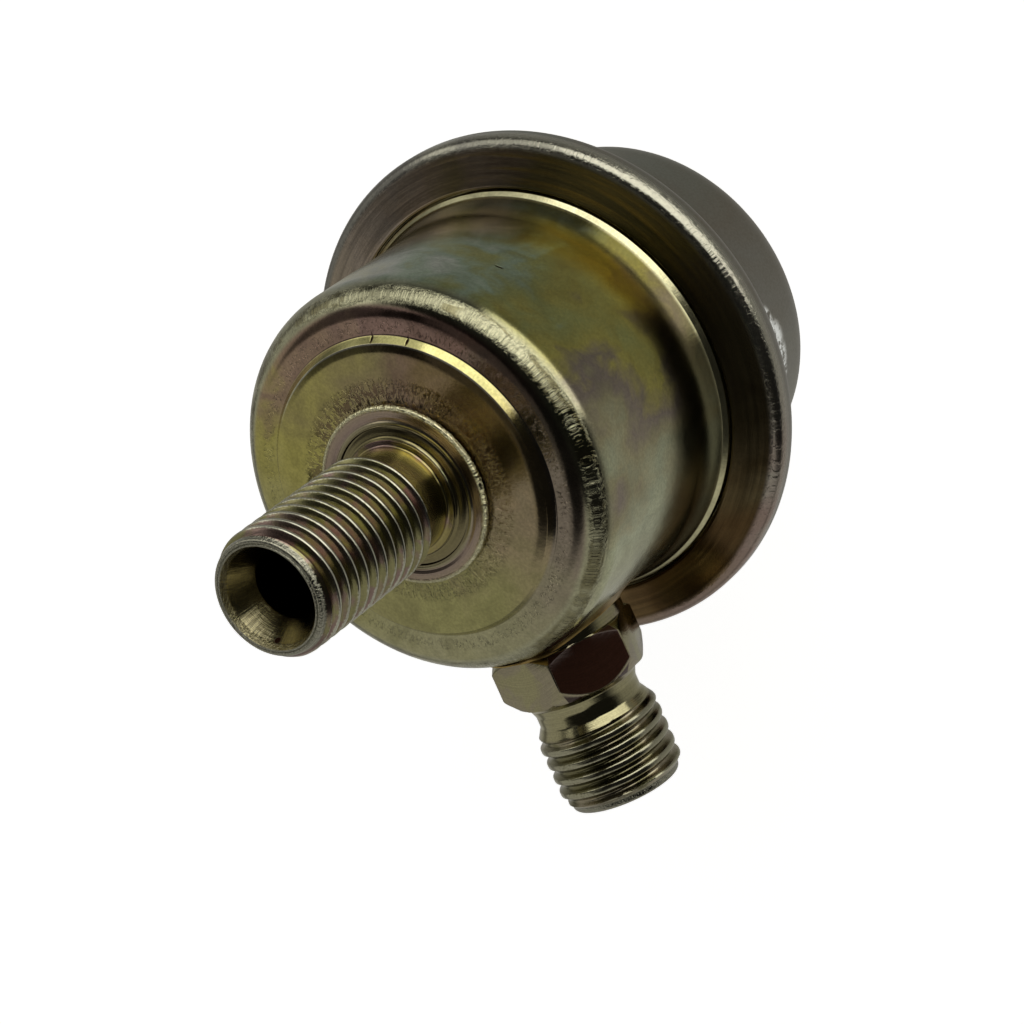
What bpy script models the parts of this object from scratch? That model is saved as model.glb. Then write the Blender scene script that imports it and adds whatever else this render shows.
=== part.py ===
"""Fuel pressure regulator with a threaded return stub, a side inlet and a sprung diaphragm valve.

Units are metres. +Z is the main axis, towards the end of the return thread. The origin is the
centre of the boss face, which seats on the bracket. The inlet leaves the side along -X.
"""
import math

import bmesh
import bpy
from mathutils import Matrix

# Running and seating gaps
SEAT_GAP = 0.0003
CLAMP_GAP = 0.00025

# Threads of both fittings, M12 x 1.5, with plain rings in place of the helix
THREAD_RADIUS = 0.006
THREAD_PITCH = 0.0015
THREAD_DEPTH = 0.0009

# Return fitting, turned from bar, with its boss and the tube that carries the valve seat
RETURN_LENGTH = 0.0221
RETURN_THREAD_START = 0.0048
RETURN_NECK_RADIUS = 0.0051
RETURN_END_CHAMFER = 0.0007
RETURN_CONE_RIM_RADIUS = 0.00485
RETURN_CONE_DEPTH = 0.0031
RETURN_BORE_RADIUS = 0.0032
RETURN_COLLAR_RADIUS = 0.0056
RETURN_COLLAR_HEIGHT = 0.0008
BOSS_RADIUS = 0.00866
BOSS_THICKNESS = 0.0005
BOSS_GROOVE_RADIUS = 0.0072
BOSS_GROOVE_WIDTH = 0.0004
BOSS_GROOVE_DEPTH = 0.00015
BOSS_EDGE_CHAMFER = 0.0002
TUBE_RADIUS = 0.005
TUBE_CLEARANCE = 0.0007

# Valve seat ring, pressed into the inner end of the tube
SEAT_RING_RADIUS = 0.0038
SEAT_RING_DEPTH = 0.0022
SEAT_LAND_RADIUS = 0.003
SEAT_LAND_HEIGHT = 0.0008
SEAT_BORE_RADIUS = 0.0024

# Fuel chamber cup, deep drawn, with a pressed step round its face
FUEL_SHEET = 0.0009
FUEL_WALL_RADIUS = 0.0192
FACE_STEP_RADIUS = 0.0147
FACE_STEP_WIDTH = 0.0005
FACE_STEP_EDGE_BEND = 0.00054
FACE_STEP_FOOT_BEND = 0.00036
FACE_STEP_INNER_SHIFT = 0.00045
FACE_DISH = 0.0005
FACE_STEP_DEPTH = 0.0007
FACE_CORNER_RADIUS = 0.0033
FUEL_FLANGE_FILLET = 0.0012

# Crimped flange: the rim of the spring chamber cup is rolled over the fuel cup's flange
FLANGE_RADIUS = 0.0253
FLANGE_TILT = math.radians(13.0)
LIP_CLEARANCE = 0.0002
LIP_FRONT_Z = -0.0244
LIP_FRONT_CORNER = 0.0013
LIP_EDGE_BEND = 0.00036
FLANGE_REAR_CORNER = 0.0018

# Spring chamber cup, deep drawn
SPRING_SHEET = 0.0009
SPRING_WALL_RADIUS = 0.0183
SPRING_END_Z = -0.0473
SPRING_CORNER_RADIUS = 0.004
SPRING_FLANGE_FILLET = 0.0012

# Diaphragm, rubber on fabric, with one rolled convolution
DIAPHRAGM_THICKNESS = 0.0005
ROLL_PLATE_CLEARANCE = 0.00065
ROLL_WALL_CLEARANCE = 0.00045

# Valve holder, riveted through the diaphragm and the spring plate
HOLDER_SHANK_RADIUS = 0.003
HOLDER_FLANGE_MARGIN = 0.0018
HOLDER_FLANGE_THICKNESS = 0.0009
HOLDER_CUP_WALL = 0.0007
HOLDER_FLOOR_THICKNESS = 0.0018
HOLDER_RIM_HEIGHT = 0.0009
RIVET_HEAD_OVERLAP = 0.0014
RIVET_HEAD_THICKNESS = 0.0012
POCKET_FLOOR_THICKNESS = 0.0008

# Valve plate on its ball, held in the holder by a snap ring
PLATE_RADIUS = 0.0034
PLATE_FACE_THICKNESS = 0.001
PLATE_RIM_RADIUS = 0.0046
PLATE_RIM_THICKNESS = 0.0007
BALL_RADIUS = 0.0015
BALL_DEPTH = 0.00045
SNAP_RING_BITE = 0.0005
SNAP_RING_CLEARANCE = 0.0005
SNAP_RING_THICKNESS = 0.0006
BALL_SPRING_WIRE_RADIUS = 0.0002
BALL_SPRING_TURNS = 4.0

# Spring plate behind the diaphragm
PLATE_SHEET = 0.0009
SPRING_PLATE_RADIUS = 0.0116
SPRING_PLATE_CORNER = 0.0015
SPRING_PLATE_RIM = 0.0032

# Main spring and the pan it stands on at the closed end
MAIN_WIRE_RADIUS = 0.00105
MAIN_ACTIVE_TURNS = 3.5
MAIN_CLOSED_TURNS = 1.0
PAN_SHEET = 0.0009
PAN_CORNER_CLEARANCE = 0.0004
PAN_GUIDE_HEIGHT = 0.0024
PAN_HOLE_RADIUS = 0.0033

# Inlet fitting, turned from hexagon bar; lengths follow each other outwards from the wall
INLET_Z = -0.0125
INLET_SPIGOT_RADIUS = 0.005
INLET_SPIGOT_REACH = 0.0009
INLET_SHANK_RADIUS = 0.0067
INLET_SHANK_LENGTH = 0.00045
INLET_HEX_LENGTH = 0.0051
INLET_HEX_FLATS = 0.013
INLET_HEX_TURN = math.radians(-21.9)
INLET_HEX_INNER_CHAMFER = math.radians(50.0)
INLET_HEX_OUTER_CHAMFER = math.radians(34.0)
INLET_CONE_LENGTH = 0.00105
INLET_NECK_LENGTH = 0.0025
INLET_NECK_RADIUS = 0.0051
INLET_THREAD_LENGTH = 0.0066
INLET_RUN_IN = 0.001
INLET_NOSE_CHAMFER = 0.0006
INLET_NOSE_LENGTH = 0.0006
INLET_NOSE_EDGE = 0.0003
INLET_CONE_RIM_RADIUS = 0.0043
INLET_CONE_DEPTH = 0.0021
INLET_BORE_RADIUS = 0.0031

# Brazing fillets
INLET_BRAZE_WIDTH = 0.0013
INLET_BRAZE_HEIGHT = 0.0006
RETURN_BRAZE_WIDTH = 0.0016
RETURN_BRAZE_DROP = 0.00015
NIPPLE_BRAZE_WIDTH = 0.0011

# Vacuum nipple in the closed end
NIPPLE_LENGTH = 0.0147
NIPPLE_RADIUS = 0.0025
NIPPLE_BORE_RADIUS = 0.0013
NIPPLE_BEAD_RADIUS = 0.003
NIPPLE_BEAD_LENGTH = 0.0022
NIPPLE_BEAD_FROM_END = 0.0012
NIPPLE_SHOULDER_RADIUS = 0.0052
NIPPLE_SHOULDER_THICKNESS = 0.0012
NIPPLE_SPIGOT_RADIUS = 0.003
NIPPLE_HEAD_RADIUS = 0.004
NIPPLE_HEAD_THICKNESS = 0.0007

# Fineness of the round pieces
SHELL_SEGMENTS = 36
FITTING_SEGMENTS = 30
INNER_SEGMENTS = 18
MAIN_SPRING_SECTIONS = 12
BALL_SPRING_SECTIONS = 8
WIRE_SIDES = 5
ROLL_STEPS = 4
ARC_STEP = math.radians(30.0)
SMOOTH_ANGLE = math.radians(35.0)

# Heights worked out from the sizes above
FACE_Z = -(BOSS_THICKNESS + SEAT_GAP)
FACE_EDGE_Z = FACE_Z - FACE_DISH
FACE_RING_Z = FACE_EDGE_Z - FACE_STEP_DEPTH
FUEL_INNER_RADIUS = FUEL_WALL_RADIUS - FUEL_SHEET
SPRING_INNER_RADIUS = SPRING_WALL_RADIUS - SPRING_SHEET
SPRING_INNER_END_Z = SPRING_END_Z + SPRING_SHEET
TUBE_HOLE_RADIUS = TUBE_RADIUS + SEAT_GAP
NIPPLE_END_Z = SPRING_END_Z - NIPPLE_LENGTH

# Places along the inlet, counted from the main axis
INLET_HEX_START = FUEL_WALL_RADIUS + INLET_SHANK_LENGTH
INLET_HEX_END = INLET_HEX_START + INLET_HEX_LENGTH
INLET_NECK_START = INLET_HEX_END + INLET_CONE_LENGTH
INLET_THREAD_START = INLET_NECK_START + INLET_NECK_LENGTH
INLET_THREAD_END = INLET_THREAD_START + INLET_THREAD_LENGTH
INLET_NOSE_START = INLET_THREAD_END + INLET_NOSE_CHAMFER
INLET_END = INLET_NOSE_START + INLET_NOSE_LENGTH
INLET_NOSE_RADIUS = THREAD_RADIUS - INLET_NOSE_CHAMFER

# Depths below the lip's front, counted square to the tilted flange
FUEL_FLANGE_DEPTH = SPRING_SHEET + CLAMP_GAP
DIAPHRAGM_DEPTH = FUEL_FLANGE_DEPTH + FUEL_SHEET + CLAMP_GAP
SPRING_FLANGE_DEPTH = DIAPHRAGM_DEPTH + DIAPHRAGM_THICKNESS + CLAMP_GAP
LIP_EDGE_RADIUS = FUEL_WALL_RADIUS + FUEL_FLANGE_FILLET + LIP_CLEARANCE
FLANGE_INNER_RADIUS = FLANGE_RADIUS - SPRING_SHEET
FLANGE_TIP_RADIUS = FLANGE_INNER_RADIUS - SEAT_GAP


def flange_height(radius, depth):
    """Height at a radius of the surface that lies a depth below the lip's tilted front."""
    drop = (radius - LIP_EDGE_RADIUS) * math.tan(FLANGE_TILT)
    return LIP_FRONT_Z - drop - depth / math.cos(FLANGE_TILT)


# Heights along the valve, from the diaphragm forwards and back
DIAPHRAGM_FRONT_Z = flange_height(FUEL_INNER_RADIUS, DIAPHRAGM_DEPTH)
DIAPHRAGM_BACK_Z = DIAPHRAGM_FRONT_Z - DIAPHRAGM_THICKNESS
HOLDER_FLANGE_Z = DIAPHRAGM_FRONT_Z + SEAT_GAP
HOLDER_FLANGE_FRONT_Z = HOLDER_FLANGE_Z + HOLDER_FLANGE_THICKNESS
HOLDER_FLOOR_Z = HOLDER_FLANGE_FRONT_Z + HOLDER_FLOOR_THICKNESS
VALVE_PLATE_BACK_Z = HOLDER_FLOOR_Z + SEAT_GAP
VALVE_PLATE_RIM_Z = VALVE_PLATE_BACK_Z + PLATE_RIM_THICKNESS
VALVE_PLATE_FACE_Z = VALVE_PLATE_RIM_Z + PLATE_FACE_THICKNESS
SEAT_Z = VALVE_PLATE_FACE_Z + SEAT_GAP
SNAP_RING_Z = VALVE_PLATE_RIM_Z + SEAT_GAP
SNAP_RING_FRONT_Z = SNAP_RING_Z + SNAP_RING_THICKNESS
HOLDER_FRONT_Z = SNAP_RING_FRONT_Z + HOLDER_RIM_HEIGHT
TUBE_END_Z = HOLDER_FRONT_Z + TUBE_CLEARANCE
SEAT_RING_FRONT_Z = TUBE_END_Z + SEAT_RING_DEPTH
SPRING_PLATE_FRONT_Z = DIAPHRAGM_BACK_Z - SEAT_GAP
SPRING_PLATE_BACK_Z = SPRING_PLATE_FRONT_Z - PLATE_SHEET
RIVET_HEAD_Z = SPRING_PLATE_BACK_Z - SEAT_GAP
HOLDER_BACK_Z = RIVET_HEAD_Z - RIVET_HEAD_THICKNESS
POCKET_FLOOR_Z = HOLDER_BACK_Z + POCKET_FLOOR_THICKNESS
POCKET_RADIUS = BALL_RADIUS + SEAT_GAP
BALL_CENTRE_Z = HOLDER_FLOOR_Z - BALL_DEPTH
SHANK_HOLE_RADIUS = HOLDER_SHANK_RADIUS + SEAT_GAP
PAN_BACK_Z = SPRING_INNER_END_Z + SEAT_GAP
PAN_FRONT_Z = PAN_BACK_Z + PAN_SHEET

# Radii worked out outwards from the valve
HOLDER_CUP_BORE = PLATE_RIM_RADIUS + SEAT_GAP
SNAP_RING_RADIUS = HOLDER_CUP_BORE + SNAP_RING_BITE
SNAP_RING_BORE = PLATE_RADIUS + SNAP_RING_CLEARANCE
SNAP_GROOVE_RADIUS = SNAP_RING_RADIUS + SEAT_GAP
HOLDER_CUP_RADIUS = SNAP_GROOVE_RADIUS + HOLDER_CUP_WALL
RIVET_HEAD_RADIUS = HOLDER_SHANK_RADIUS + RIVET_HEAD_OVERLAP
HOLDER_FLANGE_RADIUS = SPRING_PLATE_RADIUS - HOLDER_FLANGE_MARGIN
ROLL_INNER_RADIUS = SPRING_PLATE_RADIUS + ROLL_PLATE_CLEARANCE
ROLL_OUTER_RADIUS = SPRING_INNER_RADIUS - ROLL_WALL_CLEARANCE
PAN_RADIUS = SPRING_WALL_RADIUS - SPRING_CORNER_RADIUS - PAN_CORNER_CLEARANCE


def metal(name, colour, roughness, metallic=1.0):
    """Principled material with the piece's colour, roughness and metallic value."""
    material = bpy.data.materials.new(name)
    material.use_nodes = True
    shader = material.node_tree.nodes["Principled BSDF"]
    shader.inputs["Base Color"].default_value = (*colour, 1.0)
    shader.inputs["Roughness"].default_value = roughness
    shader.inputs["Metallic"].default_value = metallic
    return material


def finish_object(name, mesh_data, material):
    """Recalculate the normals, shade the mesh and link it as an object."""
    bmesh.ops.recalc_face_normals(mesh_data, faces=mesh_data.faces)
    mesh = bpy.data.meshes.new(name)
    mesh_data.to_mesh(mesh)
    mesh_data.free()
    mesh.shade_smooth()
    mesh.set_sharp_from_angle(angle=SMOOTH_ANGLE)
    mesh.materials.append(material)
    body = bpy.data.objects.new(name, mesh)
    bpy.context.scene.collection.objects.link(body)
    return body


def arc(centre, radius, start, end, steps):
    """Points on an arc in the outline's plane, both ends included."""
    angles = [start + (end - start) * step / steps for step in range(steps + 1)]
    return [(centre[0] + radius * math.cos(a), centre[1] + radius * math.sin(a)) for a in angles]


def rounded(corners):
    """Closed outline from corners (radius, height) or (radius, height, corner radius)."""
    outline = []
    for index, corner in enumerate(corners):
        if len(corner) == 2:
            outline.append(corner)
            continue
        here = complex(corner[0], corner[1])
        before = complex(*corners[index - 1][:2]) - here
        after = complex(*corners[(index + 1) % len(corners)][:2]) - here
        before /= abs(before)
        after /= abs(after)
        half = math.acos(max(-1.0, min(1.0, (before * after.conjugate()).real))) / 2.0
        bisector = (before + after) / abs(before + after)
        centre = here + bisector * corner[2] / math.sin(half)
        reach = corner[2] / math.tan(half)
        first = here + before * reach - centre
        turn = math.pi - 2.0 * half
        side = 1.0 if (before.conjugate() * after).imag < 0.0 else -1.0
        steps = max(2, math.ceil(turn / ARC_STEP - 0.01))
        start = math.atan2(first.imag, first.real)
        outline += arc((centre.real, centre.imag), corner[2], start, start + side * turn, steps)
    return outline


def thread_rings(start, end):
    """Outline of the thread between two heights: sharp ridges a pitch apart, roots between."""
    ridges = max(1, round((end - start) / THREAD_PITCH))
    pitch = (end - start) / ridges
    points = [(THREAD_RADIUS, start)]
    for ridge in range(ridges):
        points.append((THREAD_RADIUS - THREAD_DEPTH, start + (ridge + 0.5) * pitch))
        points.append((THREAD_RADIUS, start + (ridge + 1.0) * pitch))
    return points


def turned(name, outline, segments, material, first_angle=0.0):
    """Body of revolution about +Z.

    The outline is a closed loop of (radius, height) points. An outline that starts and ends on
    the axis gives a body with no bore. A point may be a function of the angle.
    """
    mesh_data = bmesh.new()
    columns = []
    poles = {}
    for step in range(segments):
        angle = first_angle + 2.0 * math.pi * step / segments
        column = []
        for index, point in enumerate(outline):
            radius, height = point(angle) if callable(point) else point
            if radius < 1e-9:
                if index not in poles:
                    poles[index] = mesh_data.verts.new((0.0, 0.0, height))
                column.append(poles[index])
                continue
            place = (radius * math.cos(angle), radius * math.sin(angle), height)
            column.append(mesh_data.verts.new(place))
        columns.append(column)
    spans = len(outline) - 1 if poles else len(outline)
    for step, column in enumerate(columns):
        beside = columns[(step + 1) % segments]
        for index in range(spans):
            after = (index + 1) % len(outline)
            ring = [column[index], column[after], beside[after], beside[index]]
            corners = [vert for place, vert in enumerate(ring) if vert not in ring[:place]]
            mesh_data.faces.new(corners)
    return finish_object(name, mesh_data, material)


def coil(name, coil_radius, wire_radius, start_z, end_z, turns, closed_turns, sections, material):
    """Compression spring: a round wire with closed end turns, from one height down to another."""
    closed_pitch = 2.0 * wire_radius + SEAT_GAP
    first = start_z - wire_radius
    last = end_z + wire_radius
    active_drop = (first - last) - 2.0 * closed_turns * closed_pitch
    total = turns + 2.0 * closed_turns

    def height(turn):
        """Height of the wire's centre after a number of turns."""
        if turn < closed_turns:
            return first - turn * closed_pitch
        if turn > total - closed_turns:
            return last + (total - turn) * closed_pitch
        return first - closed_turns * closed_pitch - active_drop * (turn - closed_turns) / turns

    mesh_data = bmesh.new()
    rings = []
    count = round(total * sections)
    for section in range(count + 1):
        turn = total * section / count
        angle = 2.0 * math.pi * turn
        ring = []
        for side in range(WIRE_SIDES):
            tilt = 2.0 * math.pi * side / WIRE_SIDES
            out = coil_radius + wire_radius * math.cos(tilt)
            up = height(turn) + wire_radius * math.sin(tilt)
            ring.append(mesh_data.verts.new((out * math.cos(angle), out * math.sin(angle), up)))
        rings.append(ring)
    for ring, beyond in zip(rings, rings[1:]):
        for side in range(WIRE_SIDES):
            beside = (side + 1) % WIRE_SIDES
            mesh_data.faces.new((ring[side], ring[beside], beyond[beside], beyond[side]))
    mesh_data.faces.new(rings[0])
    mesh_data.faces.new(list(reversed(rings[-1])))
    return finish_object(name, mesh_data, material)


def hidden_cutter(name, radius, length, placement):
    """Wire-drawn cylinder for a Boolean cut, along its own +Z from its origin."""
    mesh_data = bmesh.new()
    bmesh.ops.create_cone(
        mesh_data, cap_ends=True, segments=FITTING_SEGMENTS,
        radius1=radius, radius2=radius, depth=length,
        matrix=Matrix.Translation((0.0, 0.0, length / 2.0)))
    mesh = bpy.data.meshes.new(name)
    mesh_data.to_mesh(mesh)
    mesh_data.free()
    cutter = bpy.data.objects.new(name, mesh)
    bpy.context.scene.collection.objects.link(cutter)
    cutter.matrix_world = placement
    cutter.hide_render = True
    cutter.display_type = "WIRE"
    return cutter


def inlet_placement():
    """Placement that lays a piece turned about +Z along the inlet's axis, -X."""
    return Matrix.Translation((0.0, 0.0, INLET_Z)) @ Matrix.Rotation(-math.pi / 2.0, 4, "Y")


def wall_distance(radius, angle):
    """Distance from the main axis to the cup's wall, seen round the inlet's axis."""
    clear = FUEL_WALL_RADIUS + SEAT_GAP
    return math.sqrt(clear ** 2 - (radius * math.sin(angle)) ** 2)


def braze_section(inner, foot, height, width):
    """Hollow-faced fillet in a corner: closed outline with its corner at (inner, foot)."""
    points = [(inner, foot), (inner + width, foot)]
    bend = arc((inner + width, foot + height), 1.0, -0.5 * math.pi, -math.pi, 4)[1:]
    for x_unit, z_unit in bend:
        points.append((inner + width + (x_unit - inner - width) * width,
                       foot + height + (z_unit - foot - height) * height))
    return points


def make_fuel_chamber_cup(material):
    """Deep-drawn cup with its stepped face, rolled corner, tilted flange and two holes."""
    step_inner = FACE_STEP_RADIUS - FACE_STEP_WIDTH
    flange_root = flange_height(FUEL_WALL_RADIUS, FUEL_FLANGE_DEPTH)
    inner_root = flange_height(FUEL_INNER_RADIUS, FUEL_FLANGE_DEPTH + FUEL_SHEET)
    outline = rounded([
        (TUBE_HOLE_RADIUS, FACE_Z),
        (step_inner, FACE_EDGE_Z, FACE_STEP_EDGE_BEND),
        (FACE_STEP_RADIUS, FACE_RING_Z, FACE_STEP_FOOT_BEND),
        (FUEL_WALL_RADIUS, FACE_RING_Z, FACE_CORNER_RADIUS),
        (FUEL_WALL_RADIUS, flange_root, FUEL_FLANGE_FILLET),
        (FLANGE_TIP_RADIUS, flange_height(FLANGE_TIP_RADIUS, FUEL_FLANGE_DEPTH)),
        (FLANGE_TIP_RADIUS, flange_height(FLANGE_TIP_RADIUS, FUEL_FLANGE_DEPTH + FUEL_SHEET)),
        (FUEL_INNER_RADIUS, inner_root, FUEL_FLANGE_FILLET + FUEL_SHEET),
        (FUEL_INNER_RADIUS, FACE_RING_Z - FUEL_SHEET, FACE_CORNER_RADIUS - FUEL_SHEET),
        (FACE_STEP_RADIUS - FACE_STEP_INNER_SHIFT, FACE_RING_Z - FUEL_SHEET),
        (step_inner - FACE_STEP_INNER_SHIFT, FACE_EDGE_Z - FUEL_SHEET),
        (TUBE_HOLE_RADIUS, FACE_Z - FUEL_SHEET),
    ])
    cup = turned("fuel_chamber_cup", outline, SHELL_SEGMENTS, material)
    hole = hidden_cutter("inlet_hole_cutter", INLET_SPIGOT_RADIUS + SEAT_GAP,
                         FUEL_WALL_RADIUS + FUEL_SHEET, inlet_placement())
    cut = cup.modifiers.new("inlet_hole", "BOOLEAN")
    cut.operation = "DIFFERENCE"
    cut.solver = "EXACT"
    cut.object = hole
    return cup


def make_spring_chamber_cup(material):
    """Deep-drawn cup whose rim is rolled over the fuel cup's flange to clamp the diaphragm."""
    back = SPRING_FLANGE_DEPTH + SPRING_SHEET
    hole = NIPPLE_SPIGOT_RADIUS + SEAT_GAP
    outline = rounded([
        (hole, SPRING_END_Z),
        (SPRING_WALL_RADIUS, SPRING_END_Z, SPRING_CORNER_RADIUS),
        (SPRING_WALL_RADIUS, flange_height(SPRING_WALL_RADIUS, back), SPRING_FLANGE_FILLET),
        (FLANGE_RADIUS, flange_height(FLANGE_RADIUS, back), FLANGE_REAR_CORNER),
        (FLANGE_RADIUS, flange_height(FLANGE_RADIUS, 0.0), LIP_FRONT_CORNER),
        (LIP_EDGE_RADIUS, flange_height(LIP_EDGE_RADIUS, 0.0), LIP_EDGE_BEND),
        (LIP_EDGE_RADIUS, flange_height(LIP_EDGE_RADIUS, SPRING_SHEET)),
        (FLANGE_INNER_RADIUS, flange_height(FLANGE_INNER_RADIUS, SPRING_SHEET)),
        (FLANGE_INNER_RADIUS, flange_height(FLANGE_INNER_RADIUS, SPRING_FLANGE_DEPTH)),
        (SPRING_INNER_RADIUS, flange_height(SPRING_INNER_RADIUS, SPRING_FLANGE_DEPTH),
         SPRING_FLANGE_FILLET + SPRING_SHEET),
        (SPRING_INNER_RADIUS, SPRING_INNER_END_Z, SPRING_CORNER_RADIUS - SPRING_SHEET),
        (hole, SPRING_INNER_END_Z),
    ])
    return turned("spring_chamber_cup", outline, SHELL_SEGMENTS, material)


def make_return_fitting(material):
    """Threaded stub, boss and inner tube turned in one piece, with the pipe's cone seat."""
    pocket_radius = SEAT_RING_RADIUS + SEAT_GAP
    pocket_z = SEAT_RING_FRONT_Z + SEAT_GAP
    groove_outer = BOSS_GROOVE_RADIUS + BOSS_GROOVE_WIDTH
    outline = [
        (RETURN_BORE_RADIUS, RETURN_LENGTH - RETURN_CONE_DEPTH),
        (RETURN_BORE_RADIUS, pocket_z),
        (pocket_radius, pocket_z),
        (pocket_radius, TUBE_END_Z),
        (TUBE_RADIUS, TUBE_END_Z),
        (TUBE_RADIUS, -BOSS_THICKNESS),
        (BOSS_RADIUS, -BOSS_THICKNESS),
        (BOSS_RADIUS, -BOSS_EDGE_CHAMFER),
        (BOSS_RADIUS - BOSS_EDGE_CHAMFER, 0.0),
        (groove_outer, 0.0),
        (BOSS_GROOVE_RADIUS, -BOSS_GROOVE_DEPTH),
        (BOSS_GROOVE_RADIUS - BOSS_GROOVE_WIDTH, 0.0),
        (RETURN_COLLAR_RADIUS, 0.0),
        (RETURN_NECK_RADIUS, RETURN_COLLAR_HEIGHT),
        (RETURN_NECK_RADIUS, RETURN_THREAD_START - RETURN_END_CHAMFER),
        *thread_rings(RETURN_THREAD_START, RETURN_LENGTH - RETURN_END_CHAMFER),
        (THREAD_RADIUS - RETURN_END_CHAMFER, RETURN_LENGTH),
        (RETURN_CONE_RIM_RADIUS, RETURN_LENGTH),
    ]
    return turned("return_fitting", outline, FITTING_SEGMENTS, material)


def make_return_braze_ring(material):
    """Brazing fillet inside the cup, round the return tube."""
    foot = FACE_Z - FUEL_SHEET - SEAT_GAP - RETURN_BRAZE_DROP
    section = braze_section(TUBE_HOLE_RADIUS, 0.0, RETURN_BRAZE_WIDTH, RETURN_BRAZE_WIDTH)
    outline = [(radius, foot - height) for radius, height in section]
    return turned("return_braze_ring", outline, INNER_SEGMENTS, material)


def make_valve_seat(material):
    """Hardened ring with the narrow land that the valve plate closes on."""
    outline = [
        (SEAT_BORE_RADIUS, SEAT_Z),
        (SEAT_LAND_RADIUS, SEAT_Z),
        (SEAT_RING_RADIUS, SEAT_Z + SEAT_LAND_HEIGHT),
        (SEAT_RING_RADIUS, SEAT_RING_FRONT_Z),
        (SEAT_BORE_RADIUS, SEAT_RING_FRONT_Z),
    ]
    return turned("valve_seat", outline, INNER_SEGMENTS, material)


def hexagon_radius(angle):
    """Radius of the hexagon's side at an angle round the inlet's axis."""
    sector = math.pi / 3.0
    from_corner = (angle - INLET_HEX_TURN) % sector
    return 0.5 * INLET_HEX_FLATS / math.cos(from_corner - 0.5 * sector)


def make_inlet_fitting(material):
    """Side fitting: saddle base, chamfered hexagon, neck, thread and cone-seat nose."""
    apothem = 0.5 * INLET_HEX_FLATS
    corner_rise = apothem / math.cos(math.pi / 6.0) - apothem
    inner_length = corner_rise / math.tan(INLET_HEX_INNER_CHAMFER)
    outer_length = corner_rise / math.tan(INLET_HEX_OUTER_CHAMFER)

    def saddle(radius):
        """Base edge that follows the cup's wall at a radius round the inlet's axis."""
        return lambda angle: (radius, wall_distance(radius, angle))

    def chamfered(share, edge, length):
        """Point on the turned chamfer or the hexagon, whichever lies nearer the axis."""
        reach = apothem + corner_rise * share
        distance = edge + length * share
        return lambda angle: (min(hexagon_radius(angle), reach), distance)

    shares = (0.0, 0.5, 1.0)
    outline = [
        (INLET_BORE_RADIUS, FUEL_INNER_RADIUS - INLET_SPIGOT_REACH),
        (INLET_SPIGOT_RADIUS, FUEL_INNER_RADIUS - INLET_SPIGOT_REACH),
        saddle(INLET_SPIGOT_RADIUS),
        saddle(INLET_SHANK_RADIUS),
        (INLET_SHANK_RADIUS, INLET_HEX_START),
        *[chamfered(share, INLET_HEX_START, inner_length) for share in shares],
        *[chamfered(share, INLET_HEX_END, -outer_length) for share in reversed(shares)],
        (INLET_NECK_RADIUS, INLET_NECK_START),
        (INLET_NECK_RADIUS, INLET_THREAD_START),
        *thread_rings(INLET_THREAD_START + INLET_RUN_IN, INLET_THREAD_END),
        (INLET_NOSE_RADIUS, INLET_NOSE_START),
        (INLET_NOSE_RADIUS, INLET_END - INLET_NOSE_EDGE),
        (INLET_NOSE_RADIUS - INLET_NOSE_EDGE, INLET_END),
        (INLET_CONE_RIM_RADIUS, INLET_END),
        (INLET_BORE_RADIUS, INLET_END - INLET_CONE_DEPTH),
    ]
    fitting = turned("inlet_fitting", outline, FITTING_SEGMENTS, material, INLET_HEX_TURN)
    fitting.matrix_world = inlet_placement()
    return fitting


def make_inlet_braze_ring(material):
    """Brazing fillet where the inlet's shank meets the round wall."""
    inner = INLET_SHANK_RADIUS + SEAT_GAP
    section = braze_section(inner, 0.0, INLET_BRAZE_HEIGHT, INLET_BRAZE_WIDTH)
    outline = [
        lambda angle, radius=radius, rise=rise: (radius, wall_distance(radius, angle) + rise)
        for radius, rise in section]
    ring = turned("inlet_braze_ring", outline, FITTING_SEGMENTS, material)
    ring.matrix_world = inlet_placement()
    return ring


def make_diaphragm(material):
    """Thin disc with a flat centre, one convolution towards the spring and a clamped rim."""
    middle = DIAPHRAGM_FRONT_Z - 0.5 * DIAPHRAGM_THICKNESS
    roll_centre = (0.5 * (ROLL_INNER_RADIUS + ROLL_OUTER_RADIUS), middle)
    back_radius = 0.5 * (ROLL_OUTER_RADIUS - ROLL_INNER_RADIUS)
    front_radius = back_radius - DIAPHRAGM_THICKNESS
    front_roll = arc(roll_centre, front_radius, math.pi, 2.0 * math.pi, ROLL_STEPS)
    back_roll = arc(roll_centre, back_radius, 2.0 * math.pi, math.pi, ROLL_STEPS)
    back_depth = DIAPHRAGM_DEPTH + DIAPHRAGM_THICKNESS
    outline = [
        (SHANK_HOLE_RADIUS, DIAPHRAGM_FRONT_Z),
        (ROLL_INNER_RADIUS, DIAPHRAGM_FRONT_Z),
        *front_roll,
        (ROLL_OUTER_RADIUS, DIAPHRAGM_FRONT_Z),
        (FUEL_INNER_RADIUS, DIAPHRAGM_FRONT_Z),
        (FLANGE_TIP_RADIUS, flange_height(FLANGE_TIP_RADIUS, DIAPHRAGM_DEPTH)),
        (FLANGE_TIP_RADIUS, flange_height(FLANGE_TIP_RADIUS, back_depth)),
        (FUEL_INNER_RADIUS, flange_height(FUEL_INNER_RADIUS, back_depth)),
        *back_roll,
        (SHANK_HOLE_RADIUS, DIAPHRAGM_BACK_Z),
    ]
    return turned("diaphragm", outline, FITTING_SEGMENTS, material)


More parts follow.
